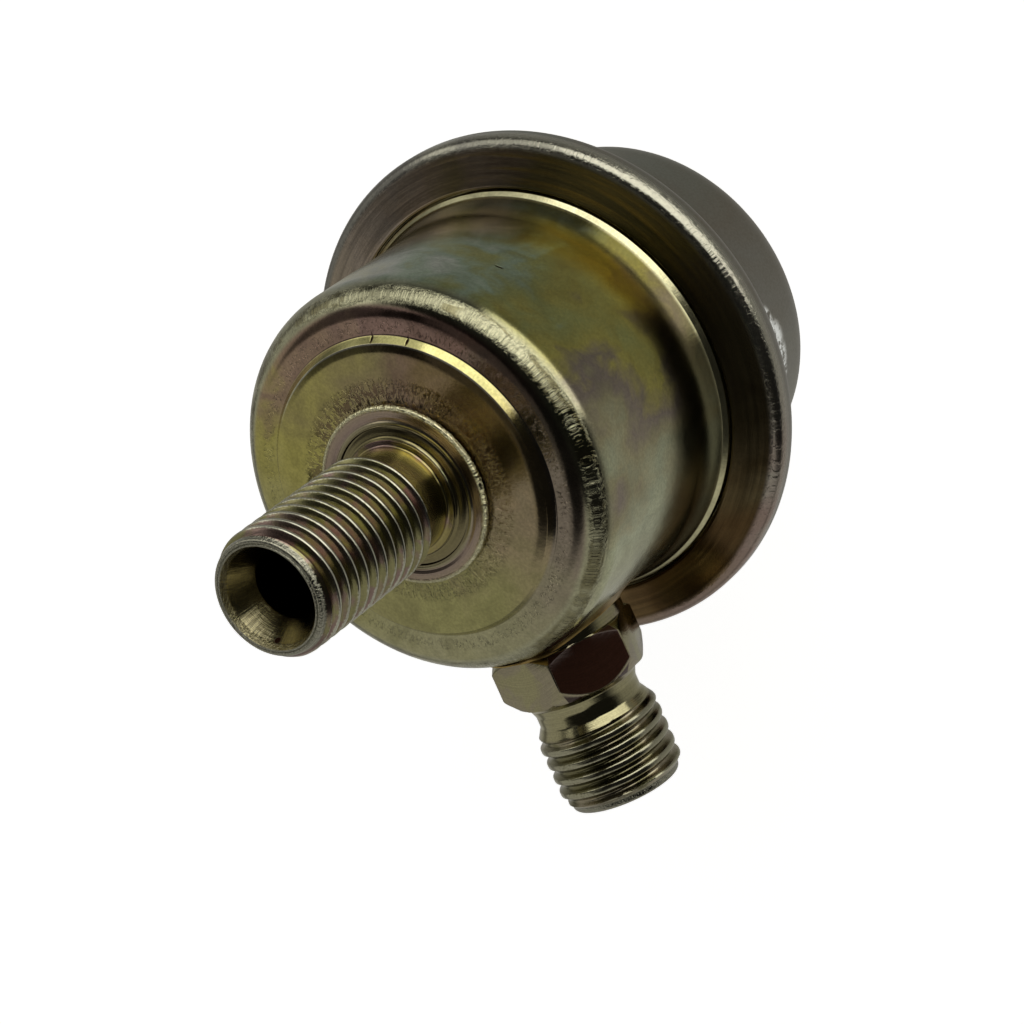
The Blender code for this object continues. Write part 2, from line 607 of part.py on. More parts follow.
def make_valve_holder(material):
    """Turned holder: plate recess, snap-ring groove, ball pocket, flange and riveted shank."""
    outline = [
        (0.0, HOLDER_BACK_Z),
        (RIVET_HEAD_RADIUS, HOLDER_BACK_Z),
        (RIVET_HEAD_RADIUS, RIVET_HEAD_Z),
        (HOLDER_SHANK_RADIUS, RIVET_HEAD_Z),
        (HOLDER_SHANK_RADIUS, HOLDER_FLANGE_Z),
        (HOLDER_FLANGE_RADIUS, HOLDER_FLANGE_Z),
        (HOLDER_FLANGE_RADIUS, HOLDER_FLANGE_FRONT_Z),
        (HOLDER_CUP_RADIUS, HOLDER_FLANGE_FRONT_Z),
        (HOLDER_CUP_RADIUS, HOLDER_FRONT_Z),
        (HOLDER_CUP_BORE, HOLDER_FRONT_Z),
        (HOLDER_CUP_BORE, SNAP_RING_FRONT_Z + SEAT_GAP),
        (SNAP_GROOVE_RADIUS, SNAP_RING_FRONT_Z + SEAT_GAP),
        (SNAP_GROOVE_RADIUS, SNAP_RING_Z - SEAT_GAP),
        (HOLDER_CUP_BORE, SNAP_RING_Z - SEAT_GAP),
        (HOLDER_CUP_BORE, HOLDER_FLOOR_Z),
        (POCKET_RADIUS, HOLDER_FLOOR_Z),
        (POCKET_RADIUS, POCKET_FLOOR_Z),
        (0.0, POCKET_FLOOR_Z),
    ]
    return turned("valve_holder", outline, INNER_SEGMENTS, material)


def make_valve_plate(material):
    """Flat closing plate with a rim for the snap ring and a round socket for the ball."""
    below = BALL_CENTRE_Z - VALVE_PLATE_BACK_Z
    socket_start = math.asin(-below / POCKET_RADIUS)
    socket = arc((0.0, BALL_CENTRE_Z), POCKET_RADIUS, socket_start, 0.5 * math.pi, 4)[:-1]
    outline = [
        (0.0, VALVE_PLATE_FACE_Z),
        (PLATE_RADIUS, VALVE_PLATE_FACE_Z),
        (PLATE_RADIUS, VALVE_PLATE_RIM_Z),
        (PLATE_RIM_RADIUS, VALVE_PLATE_RIM_Z),
        (PLATE_RIM_RADIUS, VALVE_PLATE_BACK_Z),
        *socket,
        (0.0, BALL_CENTRE_Z + POCKET_RADIUS),
    ]
    return turned("valve_plate", outline, INNER_SEGMENTS, material)


def make_valve_ball(material):
    """Ball that lets the valve plate line itself up with its seat."""
    profile = arc((0.0, BALL_CENTRE_Z), BALL_RADIUS, 0.5 * math.pi, -0.5 * math.pi, 8)
    outline = [(0.0, BALL_CENTRE_Z + BALL_RADIUS), *profile[1:-1], (0.0, BALL_CENTRE_Z - BALL_RADIUS)]
    return turned("valve_ball", outline, INNER_SEGMENTS, material)


def make_ball_spring(material):
    """Light spring that keeps the ball up against the valve plate."""
    top = BALL_CENTRE_Z - BALL_RADIUS - SEAT_GAP
    bottom = POCKET_FLOOR_Z + SEAT_GAP
    coil_radius = POCKET_RADIUS - SEAT_GAP - BALL_SPRING_WIRE_RADIUS
    return coil("ball_spring", coil_radius, BALL_SPRING_WIRE_RADIUS, top, bottom,
                BALL_SPRING_TURNS, 0.0, BALL_SPRING_SECTIONS, material)


def make_snap_ring(material):
    """Flat ring in the holder's groove that keeps the valve plate in."""
    outline = [
        (SNAP_RING_BORE, SNAP_RING_Z),
        (SNAP_RING_RADIUS, SNAP_RING_Z),
        (SNAP_RING_RADIUS, SNAP_RING_FRONT_Z),
        (SNAP_RING_BORE, SNAP_RING_FRONT_Z),
    ]
    return turned("snap_ring", outline, INNER_SEGMENTS, material)


def make_spring_plate(material):
    """Pressed dish behind the diaphragm, whose rim keeps the main spring central."""
    rim_z = SPRING_PLATE_FRONT_Z - SPRING_PLATE_RIM
    inner = SPRING_PLATE_RADIUS - PLATE_SHEET
    outline = rounded([
        (SHANK_HOLE_RADIUS, SPRING_PLATE_FRONT_Z),
        (SPRING_PLATE_RADIUS, SPRING_PLATE_FRONT_Z, SPRING_PLATE_CORNER),
        (SPRING_PLATE_RADIUS, rim_z),
        (inner, rim_z),
        (inner, SPRING_PLATE_BACK_Z, SPRING_PLATE_CORNER - PLATE_SHEET),
        (SHANK_HOLE_RADIUS, SPRING_PLATE_BACK_Z),
    ])
    return turned("spring_plate", outline, FITTING_SEGMENTS, material)


def main_coil_radius():
    """Mean radius of the main spring, which runs inside the spring plate's rim."""
    return SPRING_PLATE_RADIUS - PLATE_SHEET - SEAT_GAP - MAIN_WIRE_RADIUS


def make_main_spring(material):
    """Compression spring between the spring plate and the pan."""
    top = SPRING_PLATE_BACK_Z - SEAT_GAP
    bottom = PAN_FRONT_Z + SEAT_GAP
    return coil("main_spring", main_coil_radius(), MAIN_WIRE_RADIUS, top, bottom,
                MAIN_ACTIVE_TURNS, MAIN_CLOSED_TURNS, MAIN_SPRING_SECTIONS, material)


def make_spring_pan(material):
    """Pressed pan at the closed end, with a raised guide inside the main spring."""
    guide = main_coil_radius() - MAIN_WIRE_RADIUS - SEAT_GAP
    top = PAN_FRONT_Z + PAN_GUIDE_HEIGHT
    outline = rounded([
        (PAN_RADIUS, PAN_BACK_Z),
        (PAN_RADIUS, PAN_FRONT_Z),
        (guide, PAN_FRONT_Z),
        (guide, top, PAN_SHEET),
        (PAN_HOLE_RADIUS, top),
        (PAN_HOLE_RADIUS, top - PAN_SHEET),
        (guide - PAN_SHEET, top - PAN_SHEET),
        (guide - PAN_SHEET, PAN_BACK_Z),
    ])
    return turned("spring_pan", outline, FITTING_SEGMENTS, material)


def make_vacuum_nipple(material):
    """Hose nipple riveted through the closed end, with a shoulder and a hose bead."""
    shoulder_z = SPRING_END_Z - SEAT_GAP
    neck_z = shoulder_z - NIPPLE_SHOULDER_THICKNESS
    head_z = SPRING_INNER_END_Z + SEAT_GAP
    bead_low = NIPPLE_END_Z + NIPPLE_BEAD_FROM_END
    bead_rise = NIPPLE_BEAD_RADIUS - NIPPLE_RADIUS
    outline = [
        (NIPPLE_BORE_RADIUS, head_z + NIPPLE_HEAD_THICKNESS),
        (NIPPLE_BORE_RADIUS, NIPPLE_END_Z),
        (NIPPLE_RADIUS, NIPPLE_END_Z),
        (NIPPLE_RADIUS, bead_low),
        (NIPPLE_BEAD_RADIUS, bead_low + 2.0 * bead_rise),
        (NIPPLE_BEAD_RADIUS, bead_low + NIPPLE_BEAD_LENGTH - bead_rise),
        (NIPPLE_RADIUS, bead_low + NIPPLE_BEAD_LENGTH),
        (NIPPLE_RADIUS, neck_z),
        (NIPPLE_SHOULDER_RADIUS, neck_z),
        (NIPPLE_SHOULDER_RADIUS, shoulder_z),
        (NIPPLE_SPIGOT_RADIUS, shoulder_z),
        (NIPPLE_SPIGOT_RADIUS, head_z),
        (NIPPLE_HEAD_RADIUS, head_z),
        (NIPPLE_HEAD_RADIUS, head_z + NIPPLE_HEAD_THICKNESS),
    ]
    return turned("vacuum_nipple", outline, INNER_SEGMENTS, material)


def make_nipple_braze_ring(material):
    """Brazing fillet round the nipple's shoulder on the closed end."""
    section = braze_section(NIPPLE_SHOULDER_RADIUS + SEAT_GAP, 0.0,
                            NIPPLE_BRAZE_WIDTH, NIPPLE_BRAZE_WIDTH)
    foot = SPRING_END_Z - SEAT_GAP
    outline = [(radius, foot - height) for radius, height in section]
    return turned("nipple_braze_ring", outline, INNER_SEGMENTS, material)


def clear_scene():
    """Remove whatever the file holds before the part is modelled."""
    for existing in list(bpy.data.objects):
        bpy.data.objects.remove(existing, do_unlink=True)


def main():
    """Model every piece with its own finish."""
    clear_scene()
    make_fuel_chamber_cup(metal("yellow_chromate_cup", (0.42, 0.40, 0.22), 0.25))
    make_return_fitting(metal("yellow_chromate_return", (0.45, 0.42, 0.30), 0.28))
    make_return_braze_ring(metal("return_braze", (0.72, 0.50, 0.24), 0.40))
    make_valve_seat(metal("hardened_steel", (0.56, 0.57, 0.58), 0.20))
    make_inlet_fitting(metal("yellow_chromate_inlet", (0.43, 0.41, 0.28), 0.28))
    make_inlet_braze_ring(metal("inlet_braze", (0.62, 0.55, 0.34), 0.40))
    make_diaphragm(metal("nitrile_rubber", (0.03, 0.03, 0.03), 0.75, 0.0))
    make_valve_holder(metal("turned_brass", (0.75, 0.58, 0.30), 0.30))
    make_valve_plate(metal("lapped_steel", (0.60, 0.60, 0.60), 0.15))
    make_valve_ball(metal("bearing_steel", (0.65, 0.65, 0.66), 0.08))
    make_ball_spring(metal("stainless_wire", (0.58, 0.58, 0.57), 0.25))
    make_snap_ring(metal("blued_spring_steel", (0.22, 0.23, 0.27), 0.35))
    make_spring_plate(metal("zinc_plated_sheet", (0.55, 0.55, 0.53), 0.35))
    make_main_spring(metal("spring_wire", (0.40, 0.41, 0.42), 0.35))
    make_spring_pan(metal("zinc_plated_pan", (0.54, 0.54, 0.52), 0.35))
    make_spring_chamber_cup(metal("pale_chromate_cup", (0.48, 0.47, 0.40), 0.32))
    make_vacuum_nipple(metal("plated_nipple", (0.50, 0.49, 0.42), 0.30))
    make_nipple_braze_ring(metal("nipple_braze", (0.62, 0.55, 0.34), 0.40))


main()
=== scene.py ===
"""Looks of a fuel pressure regulator: meshes, finishes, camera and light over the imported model.

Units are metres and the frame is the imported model's: +Z runs along the main axis towards the
return thread, the origin is the centre of the boss face, and the inlet leaves along -X.
"""

import logging
import math
from dataclasses import dataclass
from enum import Enum
from functools import partial
from typing import Any, Callable

import bmesh
import bpy
from mathutils import Matrix


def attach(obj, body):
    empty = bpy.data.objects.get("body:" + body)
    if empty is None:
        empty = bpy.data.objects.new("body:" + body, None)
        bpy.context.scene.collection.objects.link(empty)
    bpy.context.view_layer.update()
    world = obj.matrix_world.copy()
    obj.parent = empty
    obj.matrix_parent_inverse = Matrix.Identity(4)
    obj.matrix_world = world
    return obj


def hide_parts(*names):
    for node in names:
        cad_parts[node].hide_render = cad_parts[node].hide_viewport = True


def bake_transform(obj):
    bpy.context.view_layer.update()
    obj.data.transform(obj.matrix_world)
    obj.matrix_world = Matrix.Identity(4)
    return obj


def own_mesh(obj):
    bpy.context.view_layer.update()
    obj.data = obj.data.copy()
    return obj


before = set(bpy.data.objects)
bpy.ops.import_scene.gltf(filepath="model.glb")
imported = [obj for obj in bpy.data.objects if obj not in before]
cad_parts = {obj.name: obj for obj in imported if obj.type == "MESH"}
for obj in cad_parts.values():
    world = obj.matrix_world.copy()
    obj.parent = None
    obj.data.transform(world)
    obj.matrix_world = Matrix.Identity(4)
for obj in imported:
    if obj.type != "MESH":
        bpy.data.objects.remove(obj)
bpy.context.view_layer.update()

LOG = logging.getLogger("fuel_pressure_regulator")
MM = 0.001
# Edges that turn more than this are shaded sharp
SHARP_ANGLE = math.radians(38.0)
# Size in mm of a feature that never ends
ENDLESS = 1e6

Point = tuple[float, float]
Span = tuple[float, float]
Outline = list[Point]
Place = Point | Callable[[float], Point]
Ring = list[Any]
Stops = tuple[tuple[float, str], ...]
Grains = tuple[tuple[float, ...], ...]
Tree = bpy.types.NodeTree
Node = bpy.types.Node
Grid = bmesh.types.BMesh
Mesh = bpy.types.Mesh
Material = bpy.types.Material

# Settings of nodes that many patterns use
SMOOTH = {"interpolation_type": "SMOOTHSTEP"}
TIMES = {"operation": "MULTIPLY"}
TIMES_PLUS = {"operation": "MULTIPLY_ADD"}
MINUS = {"operation": "SUBTRACT"}
OVER = {"data_type": "RGBA"}
# Length of one wave of a wave texture whose scale is 1
WAVE_LENGTH = 0.314


class Body(Enum):
    """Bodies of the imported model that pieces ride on."""

    HOUSING = "housing"
    VALVE = "valve"


class Slot(Enum):
    """Material slots of the record, named in the log line of each new piece."""

    CUP = "yellow_chromate_cup"
    REAR_CUP = "pale_chromate_cup"
    FITTING = "yellow_chromate_fitting"
    BRAZE = "braze"
    RUBBER = "diaphragm_rubber"
    WIRE = "spring_wire"
    NIPPLE = "plated_nipple"


# Small tools for nodes


def linear(code: str) -> tuple[float, float, float, float]:
    """Turn an sRGB hex colour to linear.

    Args:
        code: a leading # and six hex digits.

    Returns:
        Red, green, blue and an alpha of 1, for a colour socket.
    """
    parts = [int(code[place:place + 2], 16) / 255.0 for place in (1, 3, 5)]
    made = [part / 12.92 if part <= 0.04045 else ((part + 0.055) / 1.055) ** 2.4 for part in parts]
    return (made[0], made[1], made[2], 1.0)


def add_node(tree: Tree, kind: str, inputs: dict[Any, Any] | None = None, stops: Stops = (),
             **settings: Any) -> Node:
    """Add one node with its settings and links.

    Args:
        tree: node tree that it goes into.
        kind: Blender's name of the node, without the ShaderNode that leads it.
        inputs: what goes into each input, by name or number: a node, whose first output is
            linked, a socket, a hex colour or a plain value.
        stops: places and hex colours of a colour ramp.
        **settings: properties of the node itself.

    Returns:
        The new node.
    """
    node = tree.nodes.new("ShaderNode" + kind)
    for name, setting in settings.items():
        setattr(node, name, setting)
    for key, given in (inputs or {}).items():
        if isinstance(given, bpy.types.Node):
            given = next(output for output in given.outputs if output.enabled)
        if isinstance(given, bpy.types.NodeSocket):
            tree.links.new(given, node.inputs[key])
        else:
            node.inputs[key].default_value = linear(given) if isinstance(given, str) else given
    if stops:
        elements = node.color_ramp.elements
        while len(elements) < len(stops):
            elements.new(0.5)
        for element, (place, code) in zip(elements, stops):
            element.position = place
            element.color = linear(code)
    return node


def rise(value: Any, low: float, high: float, bottom: float = 0.0,
         top: float = 1.0) -> dict[Any, Any]:
    """Inputs of a smooth step from bottom to top while a value goes from low to high."""
    return {0: value, 1: low, 2: high, 3: bottom, 4: top}


def grain(place: Any, size_mm: float, detail: float = 3.0, roughness: float = 0.6,
          distortion: float = 0.0) -> dict[Any, Any]:
    """Inputs of a cloudy pattern whose features have a real size in millimetres."""
    return {"Vector": place, "Scale": 1.0 / (size_mm * MM), "Detail": detail,
            "Roughness": roughness, "Distortion": distortion}


def blank_tree(holder: Any) -> Tree:
    """Switch on the nodes of a material or a world, and clear them."""
    holder.use_nodes = True
    holder.node_tree.nodes.clear()
    return holder.node_tree


# Small tools for meshes


def in_metres(outline: Outline) -> Outline:
    """Turn points in millimetres to metres."""
    return [(radius * MM, height * MM) for radius, height in outline]


def between(first: Point, second: Point, share: float) -> Point:
    """Point at a share of the way from one point to another."""
    return (first[0] + (second[0] - first[0]) * share, first[1] + (second[1] - first[1]) * share)


def at_turn(radius: float, angle: float, height: float) -> tuple[float, float, float]:
    """Point at a radius and an angle round +Z."""
    return (radius * math.cos(angle), radius * math.sin(angle), height)


def arc(centre: Point, radius: float, start: float, turn: float, steps: int) -> Outline:
    """Points on an arc, both ends included.

    Args:
        centre: centre of the arc.
        radius: its radius.
        start: angle of its first point.
        turn: signed angle that it sweeps.
        steps: number of steps along it.

    Returns:
        The points.
    """
    angles = [start + turn * step / steps for step in range(steps + 1)]
    return [(centre[0] + radius * math.cos(a), centre[1] + radius * math.sin(a)) for a in angles]


def bend(corners: list[tuple[float, ...]], closed: bool = True, step: float = 9.0,
         reach: float = 0.1) -> Outline:
    """Turn corners into an outline with round bends and support points beside them.

    Args:
        corners: radius, height and, where it is bent, bend radius of each corner, in mm.
        closed: whether the last corner joins the first.
        step: largest angle between two points of a bend, in degrees.
        reach: distance of a support point from a bend's end, in mm.

    Returns:
        The outline's points, in metres.
    """
    outline: Outline = []
    count = len(corners)
    for index, corner in enumerate(corners):
        if len(corner) == 2 or (not closed and index in (0, count - 1)):
            outline.append((corner[0], corner[1]))
            continue
        here = complex(corner[0], corner[1])
        before = complex(*corners[index - 1][:2]) - here
        after = complex(*corners[(index + 1) % count][:2]) - here
        before /= abs(before)
        after /= abs(after)
        half = math.acos(max(-1.0, min(1.0, (before * after.conjugate()).real))) / 2.0
        centre = here + (before + after) / abs(before + after) * corner[2] / math.sin(half)
        first = here + before * corner[2] / math.tan(half) - centre
        turn = math.pi - 2.0 * half
        side = 1.0 if (before.conjugate() * after).imag < 0.0 else -1.0
        outline += arc((centre.real, centre.imag), corner[2], math.atan2(first.imag, first.real),
                       side * turn, max(3, math.ceil(math.degrees(turn) / step)))
    return in_metres(supported(outline, closed, reach))


def supported(outline: Outline, closed: bool, reach: float) -> Outline:
    """Add a point near both ends of every long straight, so that shading stays true there.

    Args:
        outline: the points.
        closed: whether the last point joins the first.
        reach: distance of the added points from the straight's ends.

    Returns:
        The outline with the added points.
    """
    made: Outline = []
    for index, point in enumerate(outline):
        made.append(point)
        after = outline[(index + 1) % len(outline)]
        length = math.dist(point, after)
        if length > 5.0 * reach and (closed or index < len(outline) - 1):
            made += [between(point, after, share)
                     for share in (reach / length, 1.0 - reach / length)]
    return made


def divided(outline: Outline, longest: float) -> Outline:
    """Divide every straight of a closed outline that is longer than a limit.

    Args:
        outline: the points.
        longest: the longest straight that is left.

    Returns:
        The outline with the added points.
    """
    made: Outline = []
    for index, point in enumerate(outline):
        after = outline[(index + 1) % len(outline)]
        parts = max(1, math.ceil(math.dist(point, after) / longest))
        made += [between(point, after, part / parts) for part in range(parts)]
    return made


def even_angles(count: int) -> list[float]:
    """Angles of a number of even columns over one turn."""
    return [math.tau * index / count for index in range(count)]


def join_rings(grid: Grid, rings: list[Ring], around: bool = True) -> None:
    """Fill the skin between rings of equally many points.

    Args:
        grid: mesh data that it goes into.
        rings: the rings, in order.
        around: whether the last column joins the first.
    """
    for ring, beyond in zip(rings, rings[1:]):
        for index in range(len(ring) if around else len(ring) - 1):
            after = (index + 1) % len(ring)
            grid.faces.new((ring[index], beyond[index], beyond[after], ring[after]))


def add_turned(grid: Grid, places: list[Place], angles: list[float],
               first: Ring | None = None, last: Ring | None = None,
               around: bool = True) -> list[Ring]:
    """Add a skin turned about +Z to a mesh, joined to rings that are there.

    Args:
        grid: mesh data that it goes into.
        places: radius and height of each new ring, or a function that gives them at an angle.
        angles: rising angles of the columns.
        first: ring that the skin starts from.
        last: ring that it ends on.
        around: whether the last column joins the first.

    Returns:
        All rings of the skin, in order.
    """
    rings: list[Ring] = [first] if first else []
    for place in places:
        ring = []
        for angle in angles:
            radius, height = place(angle) if callable(place) else place
            ring.append(grid.verts.new(at_turn(radius, angle, height)))
        rings.append(ring)
    if last:
        rings.append(last)
    join_rings(grid, rings, around)
    return rings


def plain_mesh(name: str, grid: Grid) -> Mesh:
    """Turn mesh data, freed here, into a mesh."""
    mesh = bpy.data.meshes.new(name)
    grid.to_mesh(mesh)
    grid.free()
    return mesh


def add_object(name: str, data: Any) -> bpy.types.Object:
    """Put a new object into the scene."""
    made = bpy.data.objects.new(name, data)
    bpy.context.scene.collection.objects.link(made)
    return made


def finished_mesh(name: str, grid: Grid) -> Mesh:
    """Merge doubled points, turn the normals out and shade the mesh.

    Args:
        name: name of the mesh.
        grid: its data, freed here.

    Returns:
        The mesh.
    """
    bmesh.ops.remove_doubles(grid, verts=grid.verts, dist=1e-7)
    bmesh.ops.recalc_face_normals(grid, faces=grid.faces)
    mesh = plain_mesh(name, grid)
    mesh.shade_smooth()
    mesh.set_sharp_from_angle(angle=SHARP_ANGLE)
    return mesh


def turn_mesh(name: str, places: list[Place], angles: list[float]) -> Mesh:
    """Revolve a closed outline about +Z.

    Args:
        name: name of the mesh.
        places: the outline's points, or functions that give them at an angle.
        angles: rising angles of the columns, over one turn.

    Returns:
        The mesh.
    """
    grid = bmesh.new()
    rings = add_turned(grid, places, angles)
    add_turned(grid, [], angles, rings[-1], rings[0])
    return finished_mesh(name, grid)


def place_piece(mesh: Mesh, material: Material, body: Body | None,
                slot: Slot, *nodes: str, placement: Matrix | None = None) -> bpy.types.Object:
    """Put a piece into the scene, on its body and in place of its CAD nodes.

    Args:
        mesh: its mesh, whose name it takes.
        material: its finish.
        body: body that it rides on, or None for a piece that rides on none.
        slot: slot of the record that its finish belongs to.
        *nodes: CAD nodes that it stands for.
        placement: where the mesh's own origin goes.

    Returns:
        The new object.
    """
    piece = add_object(mesh.name, mesh)
    mesh.materials.append(material)
    if placement is not None:
        piece.matrix_world = placement
    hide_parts(*nodes)
    if body is not None:
        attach(piece, body.value)
    LOG.info("%s: %d faces, %s", piece.name, len(mesh.polygons), slot.value)
    return piece


# Finishes


@dataclass(frozen=True)
class Mark:
    """One small mark: its turn, its radius and height in mm, and its half sizes in mm."""

    turn: float
    radius: float
    height: float
    half_width: float
    half_height: float


@dataclass(frozen=True)
class Ground:
    """Where a point of a turned or drawn piece lies, and patterns worked out from that.

    Place is in metres, radius and height are in millimetres, way is the unit vector away from
    the axis, and turn runs from 0 to 1 round +Z with 0.5 on +X. Add puts a node in the tree.
    """

    add: Callable[..., Node]
    place: Any
    radius: Any
    height: Any
    way: Any
    turn: Any

    @classmethod
    def of(cls, tree: Tree) -> "Ground":
        """Work out where a point lies.

        Args:
            tree: node tree of the material.

        Returns:
            The ground.
        """
        add = partial(add_node, tree)
        place = add("TexCoord").outputs["Object"]
        in_mm = add("VectorMath", {0: place, "Scale": 1.0 / MM}, operation="SCALE")
        flat = add("VectorMath", {0: in_mm, 1: (1.0, 1.0, 0.0)}, **TIMES)
        return cls(add, place, add("VectorMath", {0: flat}, operation="LENGTH"),
                   add("SeparateXYZ", {0: in_mm}).outputs["Z"],
                   add("VectorMath", {0: flat}, operation="NORMALIZE"),
                   add("TexGradient", {"Vector": place}, gradient_type="RADIAL").outputs["Fac"])

    def where(self, *limits: Any) -> Any:
        """Multiply masks.

        Args:
            *limits: each a mask, or a value with the numbers of its smooth step, as in rise.

        Returns:
            The mask that is 1 where they all are.
        """
        mask: Any = None
        for limit in limits:
            if isinstance(limit, tuple):
                limit = self.add("MapRange", rise(*limit), **SMOOTH)
            mask = limit if mask is None else self.add("Math", {0: mask, 1: limit}, **TIMES)
        return mask

    def band(self, value: Any, low: float, high: float, soft: float) -> Node:
        """Mask that is 1 between two values and 0 outside them, with soft edges."""
        return self.where((value, low - soft, low + soft), (value, high + soft, high - soft))

    def drawn_out(self, across_mm: float, around_count: float, along_mm: float,
                  detail: float = 2.0, distortion: float = 0.0) -> Node:
        """Cloudy pattern drawn out round the axis, along it or away from it.

        Args:
            across_mm: size of a feature away from the axis.
            around_count: features in one turn.
            along_mm: size of a feature along the axis.
            detail: octaves of the pattern.
            distortion: how far its features wander.

        Returns:
            The pattern's node.
        """
        ring = around_count / math.tau
        along = self.add("Math", {0: self.height, 1: 1.0 / along_mm}, **TIMES)
        mixed = self.add("Math", {0: self.radius, 1: 1.0 / across_mm, 2: along}, **TIMES_PLUS)
        lifted = self.add("CombineXYZ", {"Z": mixed})
        where = self.add("VectorMath", {0: self.way, 1: (ring, ring, 0.0), 2: lifted},
                         **TIMES_PLUS)
        return self.add("TexNoise", {"Vector": where, "Scale": 1.0, "Detail": detail,
                                     "Roughness": 0.6, "Distortion": distortion})

    def piled(self, *layers: tuple[Any, Any]) -> Any:
        """Pile up layers of relief, each with its height or a socket that scales it."""
        pile: Any = 0.0
        for layer, height in layers:
            pile = self.add("Math", {0: layer, 1: height, 2: pile}, **TIMES_PLUS)
        return pile

    def painted(self, colour: Any, *coats: tuple[Any, Any]) -> Any:
        """Lay coats over a colour, each with the mask that says where it lies."""
        for mask, coat in coats:
            colour = self.add("Mix", {0: mask, 6: colour, 7: coat}, **OVER)
        return colour

    def shaded(self, colour: Any, *shades: tuple[Any, float]) -> Any:
        """Vary a colour's brightness by patterns, each by a share up and down."""
        for pattern, share in shades:
            shade = self.where((pattern, 0.28, 0.72, 1.0 - share, 1.0 + share))
            colour = self.add("VectorMath", {0: colour, 1: shade}, **TIMES)
        return colour

    def marked(self, marks: tuple[Mark, ...]) -> Any:
        """Mask of small marks that lie on a turned surface.

        Args:
            marks: the marks.

        Returns:
            The mask, or 0 where there are none.
        """
        mask: Any = 0.0
        for mark in marks:
            width = math.tau * mark.radius / mark.half_width
            scales = ((self.turn, width, mark.turn * width),
                      (self.height, 1.0 / mark.half_height, mark.height / mark.half_height),
                      (self.radius, 1.0, mark.radius))
            parts = {axis: self.add("Math", {0: value, 1: scale, 2: -centre}, **TIMES_PLUS)
                     for axis, (value, scale, centre) in enumerate(scales)}
            away = self.add("VectorMath", {0: self.add("CombineXYZ", parts)}, operation="LENGTH")
            mask = self.add("Math", {0: mask, 1: self.where((away, 1.3, 0.6))},
                            operation="MAXIMUM")
        return mask


@dataclass(frozen=True)
class Surface:
    """What a shader is given: colour, roughness, relief with its depth in mm, and metallic."""

    colour: Any
    roughness: Any
    relief: Any
    depth_mm: float
    metallic: Any = 1.0


@dataclass(frozen=True)
class Finish:
    """What every finish has: its name, and the making of its material."""

    name: str

    def surface(self, ground: Ground) -> Surface:
        """Surface of a finish; each kind has its own."""
        raise NotImplementedError

    def build(self) -> Material:
        """Make the material.

        Returns:
            The material.
        """
        material = bpy.data.materials.new(self.name)
        tree = blank_tree(material)
        made = self.surface(Ground.of(tree))
        bump = add_node(tree, "Bump", {"Strength": 1.0, "Distance": made.depth_mm * MM,
                                       "Height": made.relief})
        shader = add_node(tree, "BsdfPrincipled", {
            "Base Color": made.colour, "Roughness": made.roughness, "Normal": bump,
            "Metallic": made.metallic})
        add_node(tree, "OutputMaterial", {"Surface": shader})
        return material


